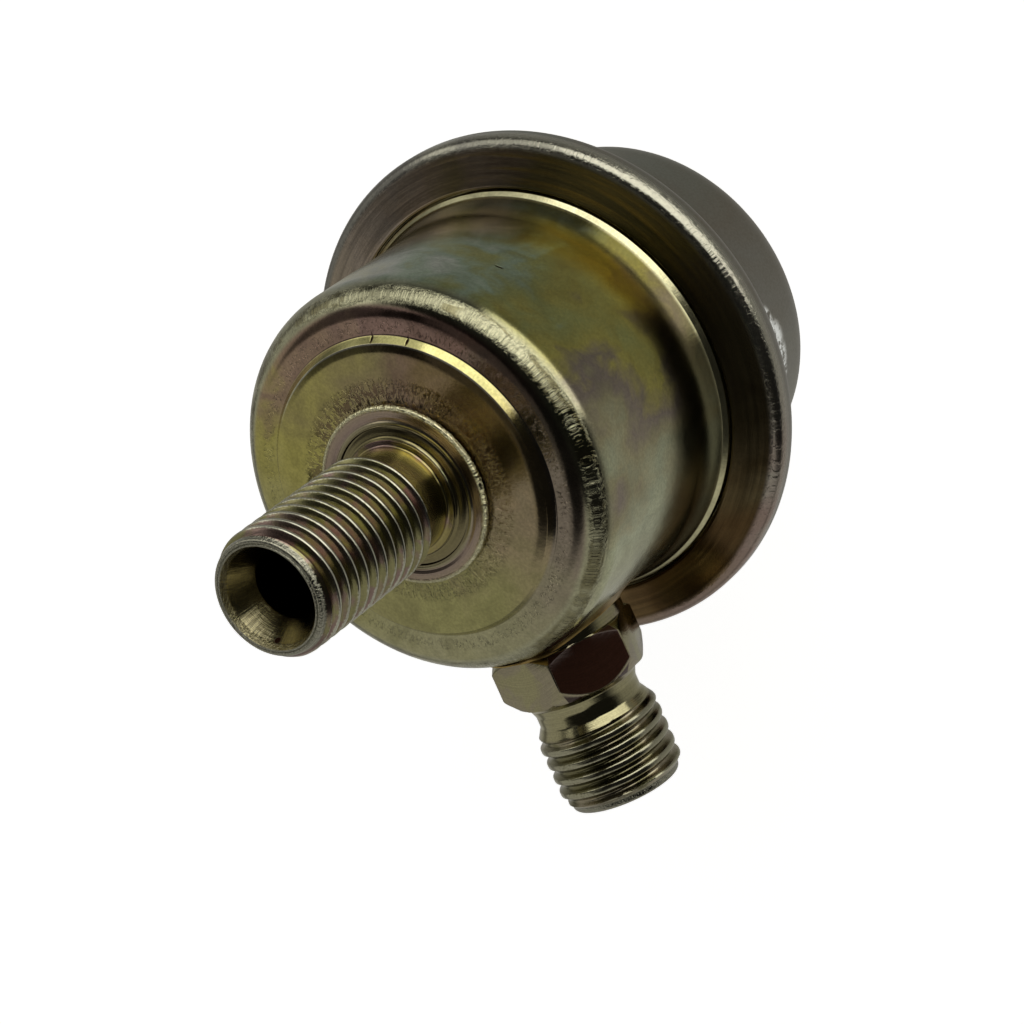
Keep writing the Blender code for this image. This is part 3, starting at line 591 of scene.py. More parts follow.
@dataclass(frozen=True)
class ChromatedCup(Finish):
    """Deep-drawn steel, zinc plated and yellow chromated.

    The film is under a micrometre thick: it takes its gloss from the steel, and its colour
    wanders between straw, olive, green-grey and pink as its thickness does. The drawing leaves
    fine lines up the wall, crushed specks round the corner and short ridges beside the boss.
    """

    wall: Stops = (
        (0.00, "#B5B58C"), (0.15, "#BDC2A2"), (0.215, "#AEA784"), (0.26, "#93877C"),
        (0.315, "#B0A85C"), (0.375, "#9DA065"), (0.415, "#97A890"), (0.47, "#B5B9AE"),
        (0.60, "#B3AD6C"), (0.80, "#B0A184"), (1.00, "#B5B58C"))
    face: Stops = (
        (0.00, "#A9A570"), (0.17, "#A69678"), (0.30, "#9A865A"), (0.43, "#957F6A"),
        (0.52, "#A0946A"), (0.64, "#B8B066"), (0.85, "#ACA674"), (1.00, "#A9A570"))
    ring: Stops = (
        (0.00, "#B0AC88"), (0.17, "#988C7C"), (0.25, "#8C8072"), (0.36, "#91766A"),
        (0.48, "#A0857B"), (0.58, "#A68F76"), (0.64, "#B8B066"), (0.85, "#B4B080"),
        (1.00, "#B0AC88"))
    corner: str = "#B2B092"
    dull: str = "#77704E"
    # Painted highlight: pale band from the outer edge of the wall's fillet outwards, where its
    # bright line falls
    lip: str = "#E0DBB0"
    # Painted highlights: pale bands on the face's step and on its crest, over the lit turns only
    step: str = "#CFC98A"
    crest: str = "#E8E5D2"
    # Painted shade: the wall is painted a dark straw towards its foot at the flange
    foot_painted_shade: str = "#544C28"
    dark: str = "#2A1C12"
    # Painted shadow in the crushed ridges beside the boss
    hollow: str = "#6A5648"
    wall_roughness: float = 0.2
    face_roughness: float = 0.13
    nicks: tuple[Mark, ...] = (
        Mark(0.3941, 19.2, -11.25, 0.42, 0.13), Mark(0.4683, 14.5, -1.7, 0.14, 0.3),
        Mark(0.4273, 14.5, -1.7, 0.14, 0.3))
    # Size in mm, detail, roughness and distortion of patches, clouds, grain, peel and coarse
    # patches. The plating's own grain is too fine to show, and is drawn as coarse as it needs.
    grains: Grains = ((9.0, 3.0, 0.5, 0.6), (3.2, 4.0, 0.55, 0.8), (0.28, 2.0), (1.6, 1.0),
                      (6.0, 1.0))
    # Heights, then radii, in mm, over which a region begins
    face_from: Span = (-1.9, -1.6)
    corner_from: Span = (-5.0, -3.4)
    foot_shade_from: Span = (-15.0, -20.0)
    ring_from: Span = (17.7, 17.1)
    ridge_from: Span = (16.3, 17.1)
    fillet_highlight_from: Span = (19.85, 20.05)
    # Both ends of a region: a height, radii in mm, and turns
    ridge: Span = (-3.8, -2.55)
    crest_highlight_band: Span = (14.0, 14.14)
    step_highlight_band: Span = (14.16, 14.68)
    crushed_band: Span = (8.7, 10.5)
    pitted_band: Span = (15.2, 16.0)
    lit_turns: Span = (0.30, 0.60)
    crushed_turns: Span = (0.37, 0.76)

    def surface(self, ground: Ground) -> Surface:
        """Lay the film over the drawn steel, with the marks of drawing and use.

        Args:
            ground: where a point lies.

        Returns:
            The surface.
        """
        add = ground.add
        patches, small, fine, peel, coarse = (
            add("TexNoise", grain(ground.place, *sizes)) for sizes in self.grains)
        wander = add("MapRange", rise(patches, 0.2, 0.8, -0.07, 0.07), **SMOOTH)
        quiver = add("MapRange", rise(small, 0.2, 0.8, -0.025, 0.025), **SMOOTH)
        turn = ground.piled((ground.turn, 1.0), (wander, 1.0), (quiver, 1.0))
        wall, ring, face = (add("ValToRGB", {0: turn}, stops)
                            for stops in (self.wall, self.ring, self.face))
        low = ground.piled((ground.height, 1.0), (wander, 40.0))
        on_corner = ground.where((ground.height, *self.corner_from))
        on_wall = add("Math", {0: 1.0, 1: on_corner}, **MINUS)
        on_ridge = ground.where(ground.band(ground.height, *self.ridge, 0.14),
                                (ground.radius, *self.ridge_from))
        smeared = ground.drawn_out(0.35, 24.0, 0.35, 3.0, 0.5)
        lit = ground.where(ground.band(ground.turn, *self.lit_turns, 0.05), on_corner)
        # Painted highlights on the step and its crest, over the lit turns only
        painted_step_highlight, painted_crest_highlight = (ground.where(ground.band(ground.radius, *band, 0.04), lit)
                             for band in (self.step_highlight_band, self.crest_highlight_band))
        nicks = ground.marked(self.nicks)
        crushed = self.crushed(ground, coarse)
        colour = ground.painted(
            wall,
            # painted shade, darker towards the wall's foot at the flange
            (ground.where((low, *self.foot_shade_from, 0.0, 0.7)), self.foot_painted_shade),
            (on_corner, self.corner),
            (ground.where((ground.radius, *self.ring_from), on_corner), ring),
            (ground.where((ground.height, *self.face_from)), face),
            (ground.where((smeared, 0.48, 0.62, 0.0, 0.75), on_ridge), self.dull),
            # painted highlight over the fillet's outer edge
            (ground.where((ground.radius, *self.fillet_highlight_from)), self.lip),
            (painted_step_highlight, self.step), (painted_crest_highlight, self.crest), (nicks, self.dark))
        colour = ground.shaded(colour, (small, 0.14), (fine, 0.10))
        # Painted shadow in the crushed ridges
        colour = ground.painted(colour, (add("Math", {0: crushed, 1: 0.75}, **TIMES),
                                         self.hollow))
        relief = ground.piled(
            (fine, 0.10), (peel, 0.22),
            (ground.where(ground.drawn_out(ENDLESS, 1100.0, 9.0), on_wall), 0.10),
            (nicks, -1.0), (crushed, -4.0), (self.pits(ground), -1.2),
            (self.corner_specks(ground, on_ridge), 1.0))
        rough = add("MapRange", rise(on_wall, 0.0, 1.0, self.face_roughness, self.wall_roughness),
                    **SMOOTH)
        rough = ground.piled((rough, 1.0), (small, 0.10), (nicks, 0.3), (1.0, -0.05))
        return Surface(colour, rough, relief, 0.05)

    def crushed(self, ground: Ground, patchy: Node) -> Node:
        """Grain crushed into short ridges beside the boss, strongest over its top, with painted
        shadow laid in them.

        Args:
            ground: where a point lies.
            patchy: pattern that makes it patchy.

        Returns:
            The mask.
        """
        strength = ground.piled((ground.band(ground.turn, *self.crushed_turns, 0.05), 0.75),
                                (1.0, 0.25))
        return ground.where(
            (ground.drawn_out(0.7, 190.0, ENDLESS, 2.5, 0.8), 0.45, 0.54), strength,
            (patchy, 0.25, 0.5, 0.4, 1.0), ground.band(ground.radius, *self.crushed_band, 0.7),
            (ground.height, *self.face_from))

    def pits(self, ground: Ground) -> Node:
        """Small pits, drawn out away from the axis, on the ring outside the face's step."""
        return ground.where((ground.drawn_out(0.55, 330.0, ENDLESS, 3.0, 0.6), 0.54, 0.63),
                            ground.band(ground.radius, *self.pitted_band, 0.35))

    def corner_specks(self, ground: Ground, near: Node) -> Node:
        """Crushed specks on the ridge of the drawn corner."""
        specks = ground.piled((ground.drawn_out(0.2, 230.0, 0.2, 4.0, 1.6), 0.5),
                              (ground.drawn_out(0.45, 22.0, 0.45, 3.0, 0.5), 0.5))
        return ground.where((specks, 0.42, 0.60, 0.0, 0.6), near)


@dataclass(frozen=True)
class ChromatedRearCup(Finish):
    """Deep-drawn steel, zinc plated, with a paler film behind and a straw one on the flange.

    Rolling the rim over has drawn fine streaks round the flange; behind it the plating is satin
    and almost colourless.
    """

    front: Stops = (
        (0.00, "#6E5A3C"), (0.06, "#5E4A30"), (0.13, "#6A5C40"), (0.22, "#8A7E60"),
        (0.30, "#857A5C"), (0.36, "#8F8350"), (0.44, "#94885C"), (0.50, "#AC9A84"),
        (0.57, "#A99C8E"), (0.70, "#A09478"), (1.00, "#6E5A3C"))
    # Painted sheen: gold streaks on the flange's front, over the lit turns only
    sheen_streak: str = "#A98F48"
    # Painted highlight: the rim is paler and greyer over turns 0.17 to 0.48, where its highlight
    # falls
    rim: Stops = (
        (0.00, "#9E8C7C"), (0.09, "#A28E84"), (0.17, "#B3ADA0"), (0.30, "#B9B7A6"),
        (0.48, "#B6B4A4"), (0.56, "#8E8C84"), (0.80, "#8A877E"), (1.00, "#9E8C7C"))
    # Painted reflection: a near-white, matt patch that is not metallic, on the back wall
    painted_reflection: str = "#E4E6E2"
    painted_reflection_marks: tuple[Mark, ...] = (
        Mark(0.2263, 18.3, -38.6, 1.5, 0.9), Mark(0.2085, 18.3, -39.2, 2.0, 1.5),
        Mark(0.1900, 18.3, -39.9, 2.0, 1.2), Mark(0.1760, 18.3, -40.4, 1.3, 0.8))
    behind: Stops = (
        (0.00, "#A5A496"), (0.20, "#9E9C94"), (0.33, "#958F82"), (0.45, "#94968B"),
        (0.65, "#A8A598"), (1.00, "#A5A496"))
    # As on the fuel cup: patches, grain, peel and the ragged edge of the patch of painted
    # reflection
    grains: Grains = ((8.0, 3.0, 0.5, 0.6), (0.25, 2.0), (1.4, 1.0), (0.8, 4.0))
    behind_roughness: float = 0.34
    front_roughness: float = 0.2
    front_from: Span = (-27.4, -26.4)
    rim_from: Span = (24.0, 24.5)
    sheen_turns: Span = (0.30, 0.48)

    def surface(self, ground: Ground) -> Surface:
        """Lay the film over the drawn steel, with the streaks of rolling, painted sheen and
        highlight, and a patch of painted reflection.

        Args:
            ground: where a point lies.

        Returns:
            The surface.
        """
        add = ground.add
        patches, fine, peel, ragged = (
            add("TexNoise", grain(ground.place, *sizes)) for sizes in self.grains)
        wander = add("MapRange", rise(patches, 0.2, 0.8, -0.06, 0.06), **SMOOTH)
        turn = ground.piled((ground.turn, 1.0), (wander, 1.0))
        front, rim, behind = (add("ValToRGB", {0: turn}, stops)
                              for stops in (self.front, self.rim, self.behind))
        in_front = ground.where((ground.height, *self.front_from))
        on_rim = ground.where((ground.radius, *self.rim_from))
        streaks = ground.drawn_out(0.5, 7.0, 0.5, 4.0, 0.2)
        scratches = ground.drawn_out(0.05, 30.0, 0.05)
        # painted sheen: gold streaks over the lit turns only
        sheen_streaks = ground.where((streaks, 0.46, 0.66),
                            ground.band(ground.turn, *self.sheen_turns, 0.05))
        front = ground.shaded(ground.painted(front, (sheen_streaks, self.sheen_streak)), (streaks, 0.3))
        # painted reflection patch on the back wall
        painted_reflection_mask = ground.where(ground.marked(self.painted_reflection_marks), (ragged, 0.40, 0.50))
        # painted highlight on the rim over its lit turns
        colour = ground.painted(behind, (in_front, ground.painted(front, (on_rim, rim))),
                                (painted_reflection_mask, self.painted_reflection))
        colour = ground.shaded(colour, (fine, 0.07))
        crushed = ground.where((ground.drawn_out(0.2, 260.0, 0.2, 3.0), 0.45, 0.62, 0.0, 0.8),
                               on_rim)
        drawn = ground.piled((streaks, 1.0), (scratches, 0.25), (crushed, 0.55))
        relief = ground.piled((drawn, in_front), (fine, 0.15), (peel, 0.3), (painted_reflection_mask, 0.5))
        rough = add("MapRange", rise(in_front, 0.0, 1.0, self.behind_roughness,
                                     self.front_roughness), **SMOOTH)
        rough = ground.piled((rough, 1.0), (patches, 0.1), (painted_reflection_mask, 0.3), (1.0, -0.05))
        bare = add("Math", {0: 1.0, 1: painted_reflection_mask}, **MINUS)
        return Surface(colour, rough, relief, 0.03, bare)


@dataclass(frozen=True)
class ChromatedFitting(Finish):
    """Bar steel, turned, threaded, zinc plated and yellow chromated.

    Tool marks run round it. The film is rubbed off the thread's crests, which are pale, and stays
    mauve and olive on its flanks; its roots are darker brown. The neck is straw, the cone seat is
    grey with scores down it, and a stain lies on it. One flat of a hexagon can be painted dark
    brown and less metallic as painted shade; a fitting without a boss has the boss's height below
    its end.
    """

    boss: Stops = (
        (0.00, "#CFCBAA"), (0.175, "#CFCBAA"), (0.19, "#8E8560"), (0.45, "#857C5E"),
        (0.53, "#A69E80"), (0.60, "#A18E83"), (0.80, "#AC9B86"), (0.85, "#E0DBB4"),
        (1.00, "#E0DBB4"))
    body: str = "#A69A66"
    straw: str = "#D0C992"
    pink: str = "#9C857C"
    nose: str = "#A9A796"
    crest: str = "#C6C4B2"
    root: str = "#5E4C42"
    # The thread's roots are painted a darker brown
    flank: str = "#9B976C"
    seat: str = "#968F70"
    bore: str = "#7A6238"
    stain: str = "#2E1C14"
    # Painted shade: one flat of a hexagon is painted dark brown and made less metallic
    flat_shade: str = "#39231A"
    grains: Grains = ((3.5, 3.0, 0.5, 0.8), (0.2, 2.0))
    neck_low: float = 1.0
    thread_low: float = 4.4
    thread_high: float = 21.5
    cone_low: float = 19.0
    cone_rim: float = 4.85
    crest_radius: float = 5.9
    root_radius: float = 5.2
    roughness: float = 0.15
    boss_height: float = 0.45
    boss_ramp: Span = (5.0, 9.0)
    boss_rim: Span = (8.25, 8.9)
    stains: tuple[Mark, ...] = (Mark(0.9363, 4.36, 21.2, 0.35, 0.35),)
    shade_flat_turns: Span | None = None
    shade_flat_heights: Span = (19.8, 24.74)
    chamfer_slope: float = 1.483
    chamfer_from: Span = (34.38, 34.28)

    def painted_shade_flat(self, ground: Ground) -> Any:
        """Mask of the flat that is painted dark as painted shade, up to the chamfer at its end.

        Args:
            ground: where a point lies.

        Returns:
            The mask, or 0 where no flat is painted.
        """
        if self.shade_flat_turns is None:
            return 0.0
        before_chamfer = ground.piled((ground.radius, self.chamfer_slope), (ground.height, 1.0))
        return ground.where(ground.band(ground.height, *self.shade_flat_heights, 0.02),
                            (before_chamfer, *self.chamfer_from),
                            ground.band(ground.turn, *self.shade_flat_turns, 0.001))

    def surface(self, ground: Ground) -> Surface:
        """Lay the film over the turned steel, with its wear and stains.

        Args:
            ground: where a point lies.

        Returns:
            The surface.
        """
        add = ground.add
        patches, fine = (add("TexNoise", grain(ground.place, *sizes)) for sizes in self.grains)
        tool_marks = ground.drawn_out(0.09, 6.0, 0.09)
        scores = ground.drawn_out(3.0, 160.0, 3.0)
        patchy = ground.where((patches, 0.42, 0.6))
        on_neck = ground.band(ground.height, self.neck_low, self.thread_low, 0.25)
        on_thread = ground.where(
            ground.band(ground.height, self.thread_low, self.thread_high, 0.15),
            (ground.radius, self.root_radius - 0.15, self.root_radius - 0.05))
        worn = ground.piled((ground.radius, 1.0), (fine, 0.26), (patches, 0.3), (1.0, -0.28))
        above_root = ground.where((ground.radius, self.root_radius - 0.05,
                                   self.root_radius + 0.2))
        thread = ground.painted(
            self.root, (above_root, ground.painted(self.flank, (patchy, self.pink))),
            (ground.where((worn, self.crest_radius - 0.06, self.crest_radius + 0.06)),
             self.crest))
        on_boss = ground.where((ground.height, self.boss_height + 0.1, self.boss_height),
                               (ground.height, -0.8, -0.6))
        start, end = self.boss_ramp
        out = ground.piled((ground.radius, 1.0 / (end - start)), (1.0, -start / (end - start)))
        brown = self.painted_shade_flat(ground)
        on_nose = ground.where((ground.height, self.thread_high - 0.1, self.thread_high + 0.1))
        inside = ground.where((ground.radius, self.cone_rim + 0.06, self.cone_rim - 0.06))
        on_seat = ground.where((ground.height, self.cone_low - 0.1, self.cone_low + 0.1))
        hollow = ground.shaded(ground.painted(self.bore, (on_seat, self.seat)), (scores, 0.22))
        stained = ground.marked(self.stains)
        colour = ground.painted(
            self.body, (patchy, self.pink), (on_neck, self.straw), (on_thread, thread),
            (on_boss, add("ValToRGB", {0: out}, self.boss)), (brown, self.flat_shade),
            (on_nose, self.nose), (inside, hollow), (stained, self.stain))
        colour = ground.shaded(colour, (tool_marks, 0.10), (fine, 0.08))
        on_rim = ground.where(ground.band(ground.radius, *self.boss_rim, 0.12), on_boss)
        worn_end = ground.piled((on_rim, 1.0), (on_nose, 0.3))
        ragged = ground.where((ground.drawn_out(0.3, 150.0, 0.3, 3.0), 0.38, 0.62, 0.0, 4.5),
                              worn_end)
        relief = ground.piled((tool_marks, 0.5), (fine, 0.25),
                              (ground.where(scores, inside), 0.8), (ragged, 1.0))
        rough = ground.piled((patches, 0.12), (stained, 0.2), (on_thread, 0.06),
                             (1.0, self.roughness - 0.06))
        bare = ground.piled((1.0, 1.0), (brown, -0.75)) if self.shade_flat_turns else 1.0
        return Surface(colour, rough, relief, 0.02, bare)


class Making(Enum):
    """How a plain metal's surface was made.

    Each gives the size of its marks across the axis and along it in mm, their number in one
    turn, and their height in mm. Lapping leaves marks too fine to show, so they are drawn as
    coarse as they need.
    """

    TURNED = (0.09, 0.09, 6.0, 0.010)
    DRAWN = (0.5, 0.5, 40.0, 0.006)
    PRESSED = (1.2, 1.2, 60.0, 0.014)
    LAPPED = (0.05, 0.05, 90.0, 0.003)
    BRAZED = (0.9, 0.9, 24.0, 0.040)


@dataclass(frozen=True)
class WorkedMetal(Finish):
    """Metal of one colour, with clouds in it and the marks of how it was made."""

    making: Making
    colour: str
    shadow: str
    roughness: float = 0.3
    grains: Grains = ((2.5, 4.0, 0.6, 0.4), (0.2, 2.0))

    def surface(self, ground: Ground) -> Surface:
        """Cloud the metal and mark it.

        Args:
            ground: where a point lies.

        Returns:
            The surface.
        """
        across, along, around, depth = self.making.value
        clouds, fine = (ground.add("TexNoise", grain(ground.place, *sizes))
                        for sizes in self.grains)
        marks = ground.drawn_out(across, around, along, 3.0)
        colour = ground.painted(self.colour, (ground.where((clouds, 0.35, 0.7)), self.shadow))
        colour = ground.shaded(colour, (marks, 0.10), (fine, 0.05))
        rough = ground.piled((clouds, 0.16), (1.0, self.roughness - 0.08))
        return Surface(colour, rough, ground.piled((marks, 1.0), (fine, 0.3)), depth)


@dataclass(frozen=True)
class FabricRubber(Finish):
    """Nitrile rubber moulded on woven fabric, whose threads stand out through its skin.

    Matt and nearly black, paler where the threads lift it.
    """

    skin: str = "#232220"
    raised: str = "#34332F"
    thread_mm: float = 0.55

    def surface(self, ground: Ground) -> Surface:
        """Weave the threads under the skin.

        Args:
            ground: where a point lies.

        Returns:
            The surface.
        """
        add = ground.add
        threads = [add("TexWave", {"Vector": ground.place,
                                   "Scale": WAVE_LENGTH / (self.thread_mm * MM),
                                   "Distortion": 0.6, "Detail": 1.0},
                       bands_direction=direction).outputs["Fac"] for direction in ("X", "Y")]
        weave = add("Math", {0: threads[0], 1: threads[1]}, operation="MAXIMUM")
        clouds = add("TexNoise", grain(ground.place, 2.0, 3.0))
        colour = ground.shaded(ground.painted(self.skin, (weave, self.raised)), (clouds, 0.2))
        return Surface(colour, ground.piled((clouds, 0.15), (1.0, 0.55)), weave, 0.05, 0.0)


# Cups


@dataclass
class CrimpedFlange:
    """Sizes, in mm, that the two cups share where one is rolled over the other."""

    lip_radius: float = 20.6
    lip_front: float = -24.4
    tilt: float = math.radians(13.0)
    outer_radius: float = 25.3

    def at(self, radius: float, depth: float, *bend_radius: float) -> tuple[float, ...]:
        """Corner that lies a depth below the lip's tilted front.

        Args:
            radius: its distance from the main axis.
            depth: its distance below the lip's front, square to it.
            *bend_radius: the radius that it is bent with, if any.

        Returns:
            Its radius, its height and its bend radius.
        """
        drop = (radius - self.lip_radius) * math.tan(self.tilt)
        return (radius, self.lip_front - drop - depth / math.cos(self.tilt), *bend_radius)


@dataclass
class FuelCup:
    """Deep-drawn fuel chamber cup with its stepped face, rolled corner and flange, in mm."""

    flange: CrimpedFlange
    sheet: float = 0.9
    wall_radius: float = 19.2
    face_height: float = -0.8
    edge_height: float = -1.3
    ring_height: float = -2.0
    hole_radius: float = 5.3
    step_radius: float = 14.7
    step_width: float = 0.56
    slope_width: float = 0.78
    corner_radius: float = 3.3
    spread_start: float = -22.0
    spread: Point = (20.0, -24.08)
    foot_height: float = -24.5
    lip_gap: float = 0.22
    fillet: float = 1.2
    flange_depth: float = 1.15
    tip_radius: float = 24.1
    columns: int = 288

    def outline(self) -> Outline:
        """Closed section of the cup; its wall spreads in a fillet that ends under the lip."""
        flange = self.flange
        front = self.flange_depth
        inner = self.wall_radius - self.sheet
        step_inner = self.step_radius - self.step_width
        foot_radius = flange.lip_radius - self.lip_gap
        corners = [
            (self.hole_radius, self.face_height),
            (step_inner - self.slope_width, self.edge_height + 0.2, 2.5),
            (step_inner, self.edge_height, 0.1),
            (self.step_radius, self.ring_height, 0.25),
            (self.wall_radius, self.ring_height, self.corner_radius),
            (self.wall_radius, self.spread_start, 5.0),
            (*self.spread, 0.4),
            (foot_radius, self.foot_height, 0.05),
            flange.at(foot_radius, front),
            flange.at(self.tip_radius, front),
            flange.at(self.tip_radius, front + self.sheet),
            flange.at(inner, front + self.sheet, self.fillet + self.sheet),
            (inner, self.ring_height - self.sheet, self.corner_radius - self.sheet),
            (self.step_radius - self.sheet / 2.0, self.ring_height - self.sheet),
            (step_inner - self.sheet / 2.0, self.edge_height - self.sheet),
            (self.hole_radius, self.face_height - self.sheet),
        ]
        return divided(bend(corners, step=7.0), 1.4 * MM)

    def build(self, finish: Material, inlet_hole: float,
              placement: Matrix) -> bpy.types.Object:
        """Make the cup and cut the inlet's hole.

        Args:
            finish: its material.
            inlet_hole: radius of the hole in mm.
            placement: the inlet's placement.

        Returns:
            The piece.
        """
        mesh = turn_mesh("fuel_cup_drawn", self.outline(), even_angles(self.columns))
        mesh = with_hole(mesh, inlet_hole * MM, (self.wall_radius + self.sheet) * MM, placement)
        return place_piece(mesh, finish, Body.HOUSING, Slot.CUP, "fuel_chamber_cup")


def with_hole(mesh: Mesh, radius: float, length: float,
              placement: Matrix) -> Mesh:
    """Cut a round hole through a mesh.

    Args:
        mesh: the mesh to cut.
        radius: radius of the hole.
        length: length of the cut, along the placement's +Z.
        placement: where the cut starts.

    Returns:
        A new mesh with the hole.
    """
    cutter_data = bmesh.new()
    bmesh.ops.create_cone(
        cutter_data, cap_ends=True, segments=72, radius1=radius, radius2=radius, depth=length,
        matrix=placement @ Matrix.Translation((0.0, 0.0, length / 2.0)))
    cutter = add_object("hole_cutter", plain_mesh("hole_cutter", cutter_data))
    blank = add_object("hole_blank", mesh)
    cut = blank.modifiers.new("hole", "BOOLEAN")
    cut.operation = "DIFFERENCE"
    cut.solver = "EXACT"
    cut.object = cutter
    bpy.context.view_layer.update()
    drilled = bpy.data.meshes.new_from_object(
        blank.evaluated_get(bpy.context.evaluated_depsgraph_get()))
    name = mesh.name
    for helper in (cutter, blank):
        bpy.data.objects.remove(helper, do_unlink=True)
    mesh.name = name + "_blank"
    drilled.name = name
    return drilled


@dataclass
class SpringCup:
    """Deep-drawn spring chamber cup, its rim rolled over the fuel cup's flange, in mm."""

    flange: CrimpedFlange
    sheet: float = 0.9
    wall_radius: float = 18.3
    end_height: float = -47.3
    corner_radius: float = 4.0
    hole_radius: float = 3.3
    front_corner: float = 1.3
    rear_corner: float = 1.8
    lip_front_edge: float = 0.28
    lip_back_edge: float = 0.1
    fillet: float = 1.2
    flange_depth: float = 3.05
    columns: int = 288

    def outline(self) -> Outline:
        """Closed section of the cup."""
        flange = self.flange
        back = self.flange_depth + self.sheet
        inner = self.wall_radius - self.sheet
        tip = flange.outer_radius - self.sheet
        corners = [
            (self.hole_radius, self.end_height),
            (self.wall_radius, self.end_height, self.corner_radius),
            flange.at(self.wall_radius, back, self.fillet),
            flange.at(flange.outer_radius, back, self.rear_corner),
            flange.at(flange.outer_radius, 0.0, self.front_corner),
            flange.at(flange.lip_radius, 0.0, self.lip_front_edge),
            flange.at(flange.lip_radius, self.sheet, self.lip_back_edge),
            flange.at(tip, self.sheet),
            flange.at(tip, self.flange_depth),
            flange.at(inner, self.flange_depth, self.fillet + self.sheet),
            (inner, self.end_height + self.sheet, self.corner_radius - self.sheet),
            (self.hole_radius, self.end_height + self.sheet),
        ]
        return divided(bend(corners, step=7.0), 2.5 * MM)

    def build(self, finish: Material) -> bpy.types.Object:
        """Make the cup with a finish."""
        mesh = turn_mesh("spring_cup_drawn", self.outline(), even_angles(self.columns))
        return place_piece(mesh, finish, Body.HOUSING, Slot.REAR_CUP, "spring_chamber_cup")


# Threaded fittings


@dataclass
class Thread:
    """Right-handed external thread, M12 x 1.5, with the rounded profile of a plated one, in mm.

    The half profile gives the depth below the crest at distances from the crest.
    """

    start: float
    end: float
    crest_at: float
    crest_radius: float = 6.0
    pitch: float = 1.5
    half_profile: tuple[Point, ...] = (
        (0.00, 0.000), (0.08, 0.004), (0.15, 0.030), (0.21, 0.095), (0.40, 0.430),
        (0.57, 0.750), (0.63, 0.830), (0.69, 0.870), (0.75, 0.880))

    def depth(self, offset: float) -> float:
        """Depth below the crest at a distance along the axis from a crest.

        Args:
            offset: the distance.

        Returns:
            The depth.
        """
        away = abs((offset + 0.5 * self.pitch) % self.pitch - 0.5 * self.pitch)
        for (low, above), (high, below) in zip(self.half_profile, self.half_profile[1:]):
            if away <= high:
                return above + (below - above) * (away - low) / (high - low)
        return self.half_profile[-1][1]

    def add(self, grid: Grid, angles: list[float],
            limit: Callable[[float], float]) -> tuple[Ring, Ring]:
        """Add the thread's skin to a mesh.

        Args:
            grid: mesh data that it goes into.
            angles: rising angles of the columns, over one turn.
            limit: gives the largest radius at a height, for the run-in and the end chamfer.

        Returns:
            The points of its first and of its last ring, one for each column.
        """
        rows = [offset for offset, _ in self.half_profile]
        rows += [self.pitch - offset for offset in reversed(rows[1:-1])]
        count = len(rows) * (math.ceil((self.end - self.start) / self.pitch) + 2) + 1
        base = self.crest_at - self.pitch * math.ceil(
            (self.crest_at - self.start) / self.pitch + 1.0)
        columns = []
        for angle in angles:
            lead = self.pitch * (angle - angles[0]) / math.tau
            column = []
            for row in range(count):
                height = base + rows[row % len(rows)] + self.pitch * (row // len(rows)) + lead
                height = min(max(height, self.start), self.end)
                depth = self.depth(height - self.crest_at - lead)
                radius = min(self.crest_radius - depth, limit(height))
                column.append(grid.verts.new(at_turn(radius * MM, angle, height * MM)))
            columns.append(column)
        for index, column in enumerate(columns):
            beside = columns[(index + 1) % len(columns)]
            shift = len(rows) if index == len(columns) - 1 else 0
            for row in range(count - 1):
                low = min(row + shift, count - 1)
                high = min(row + 1 + shift, count - 1)
                ring = [column[row], column[row + 1], beside[high], beside[low]]
                kept = [vert for place, vert in enumerate(ring) if vert not in ring[:place]]
                if len(kept) > 2:
                    grid.faces.new(kept)
        return [column[0] for column in columns], [column[-1] for column in columns]


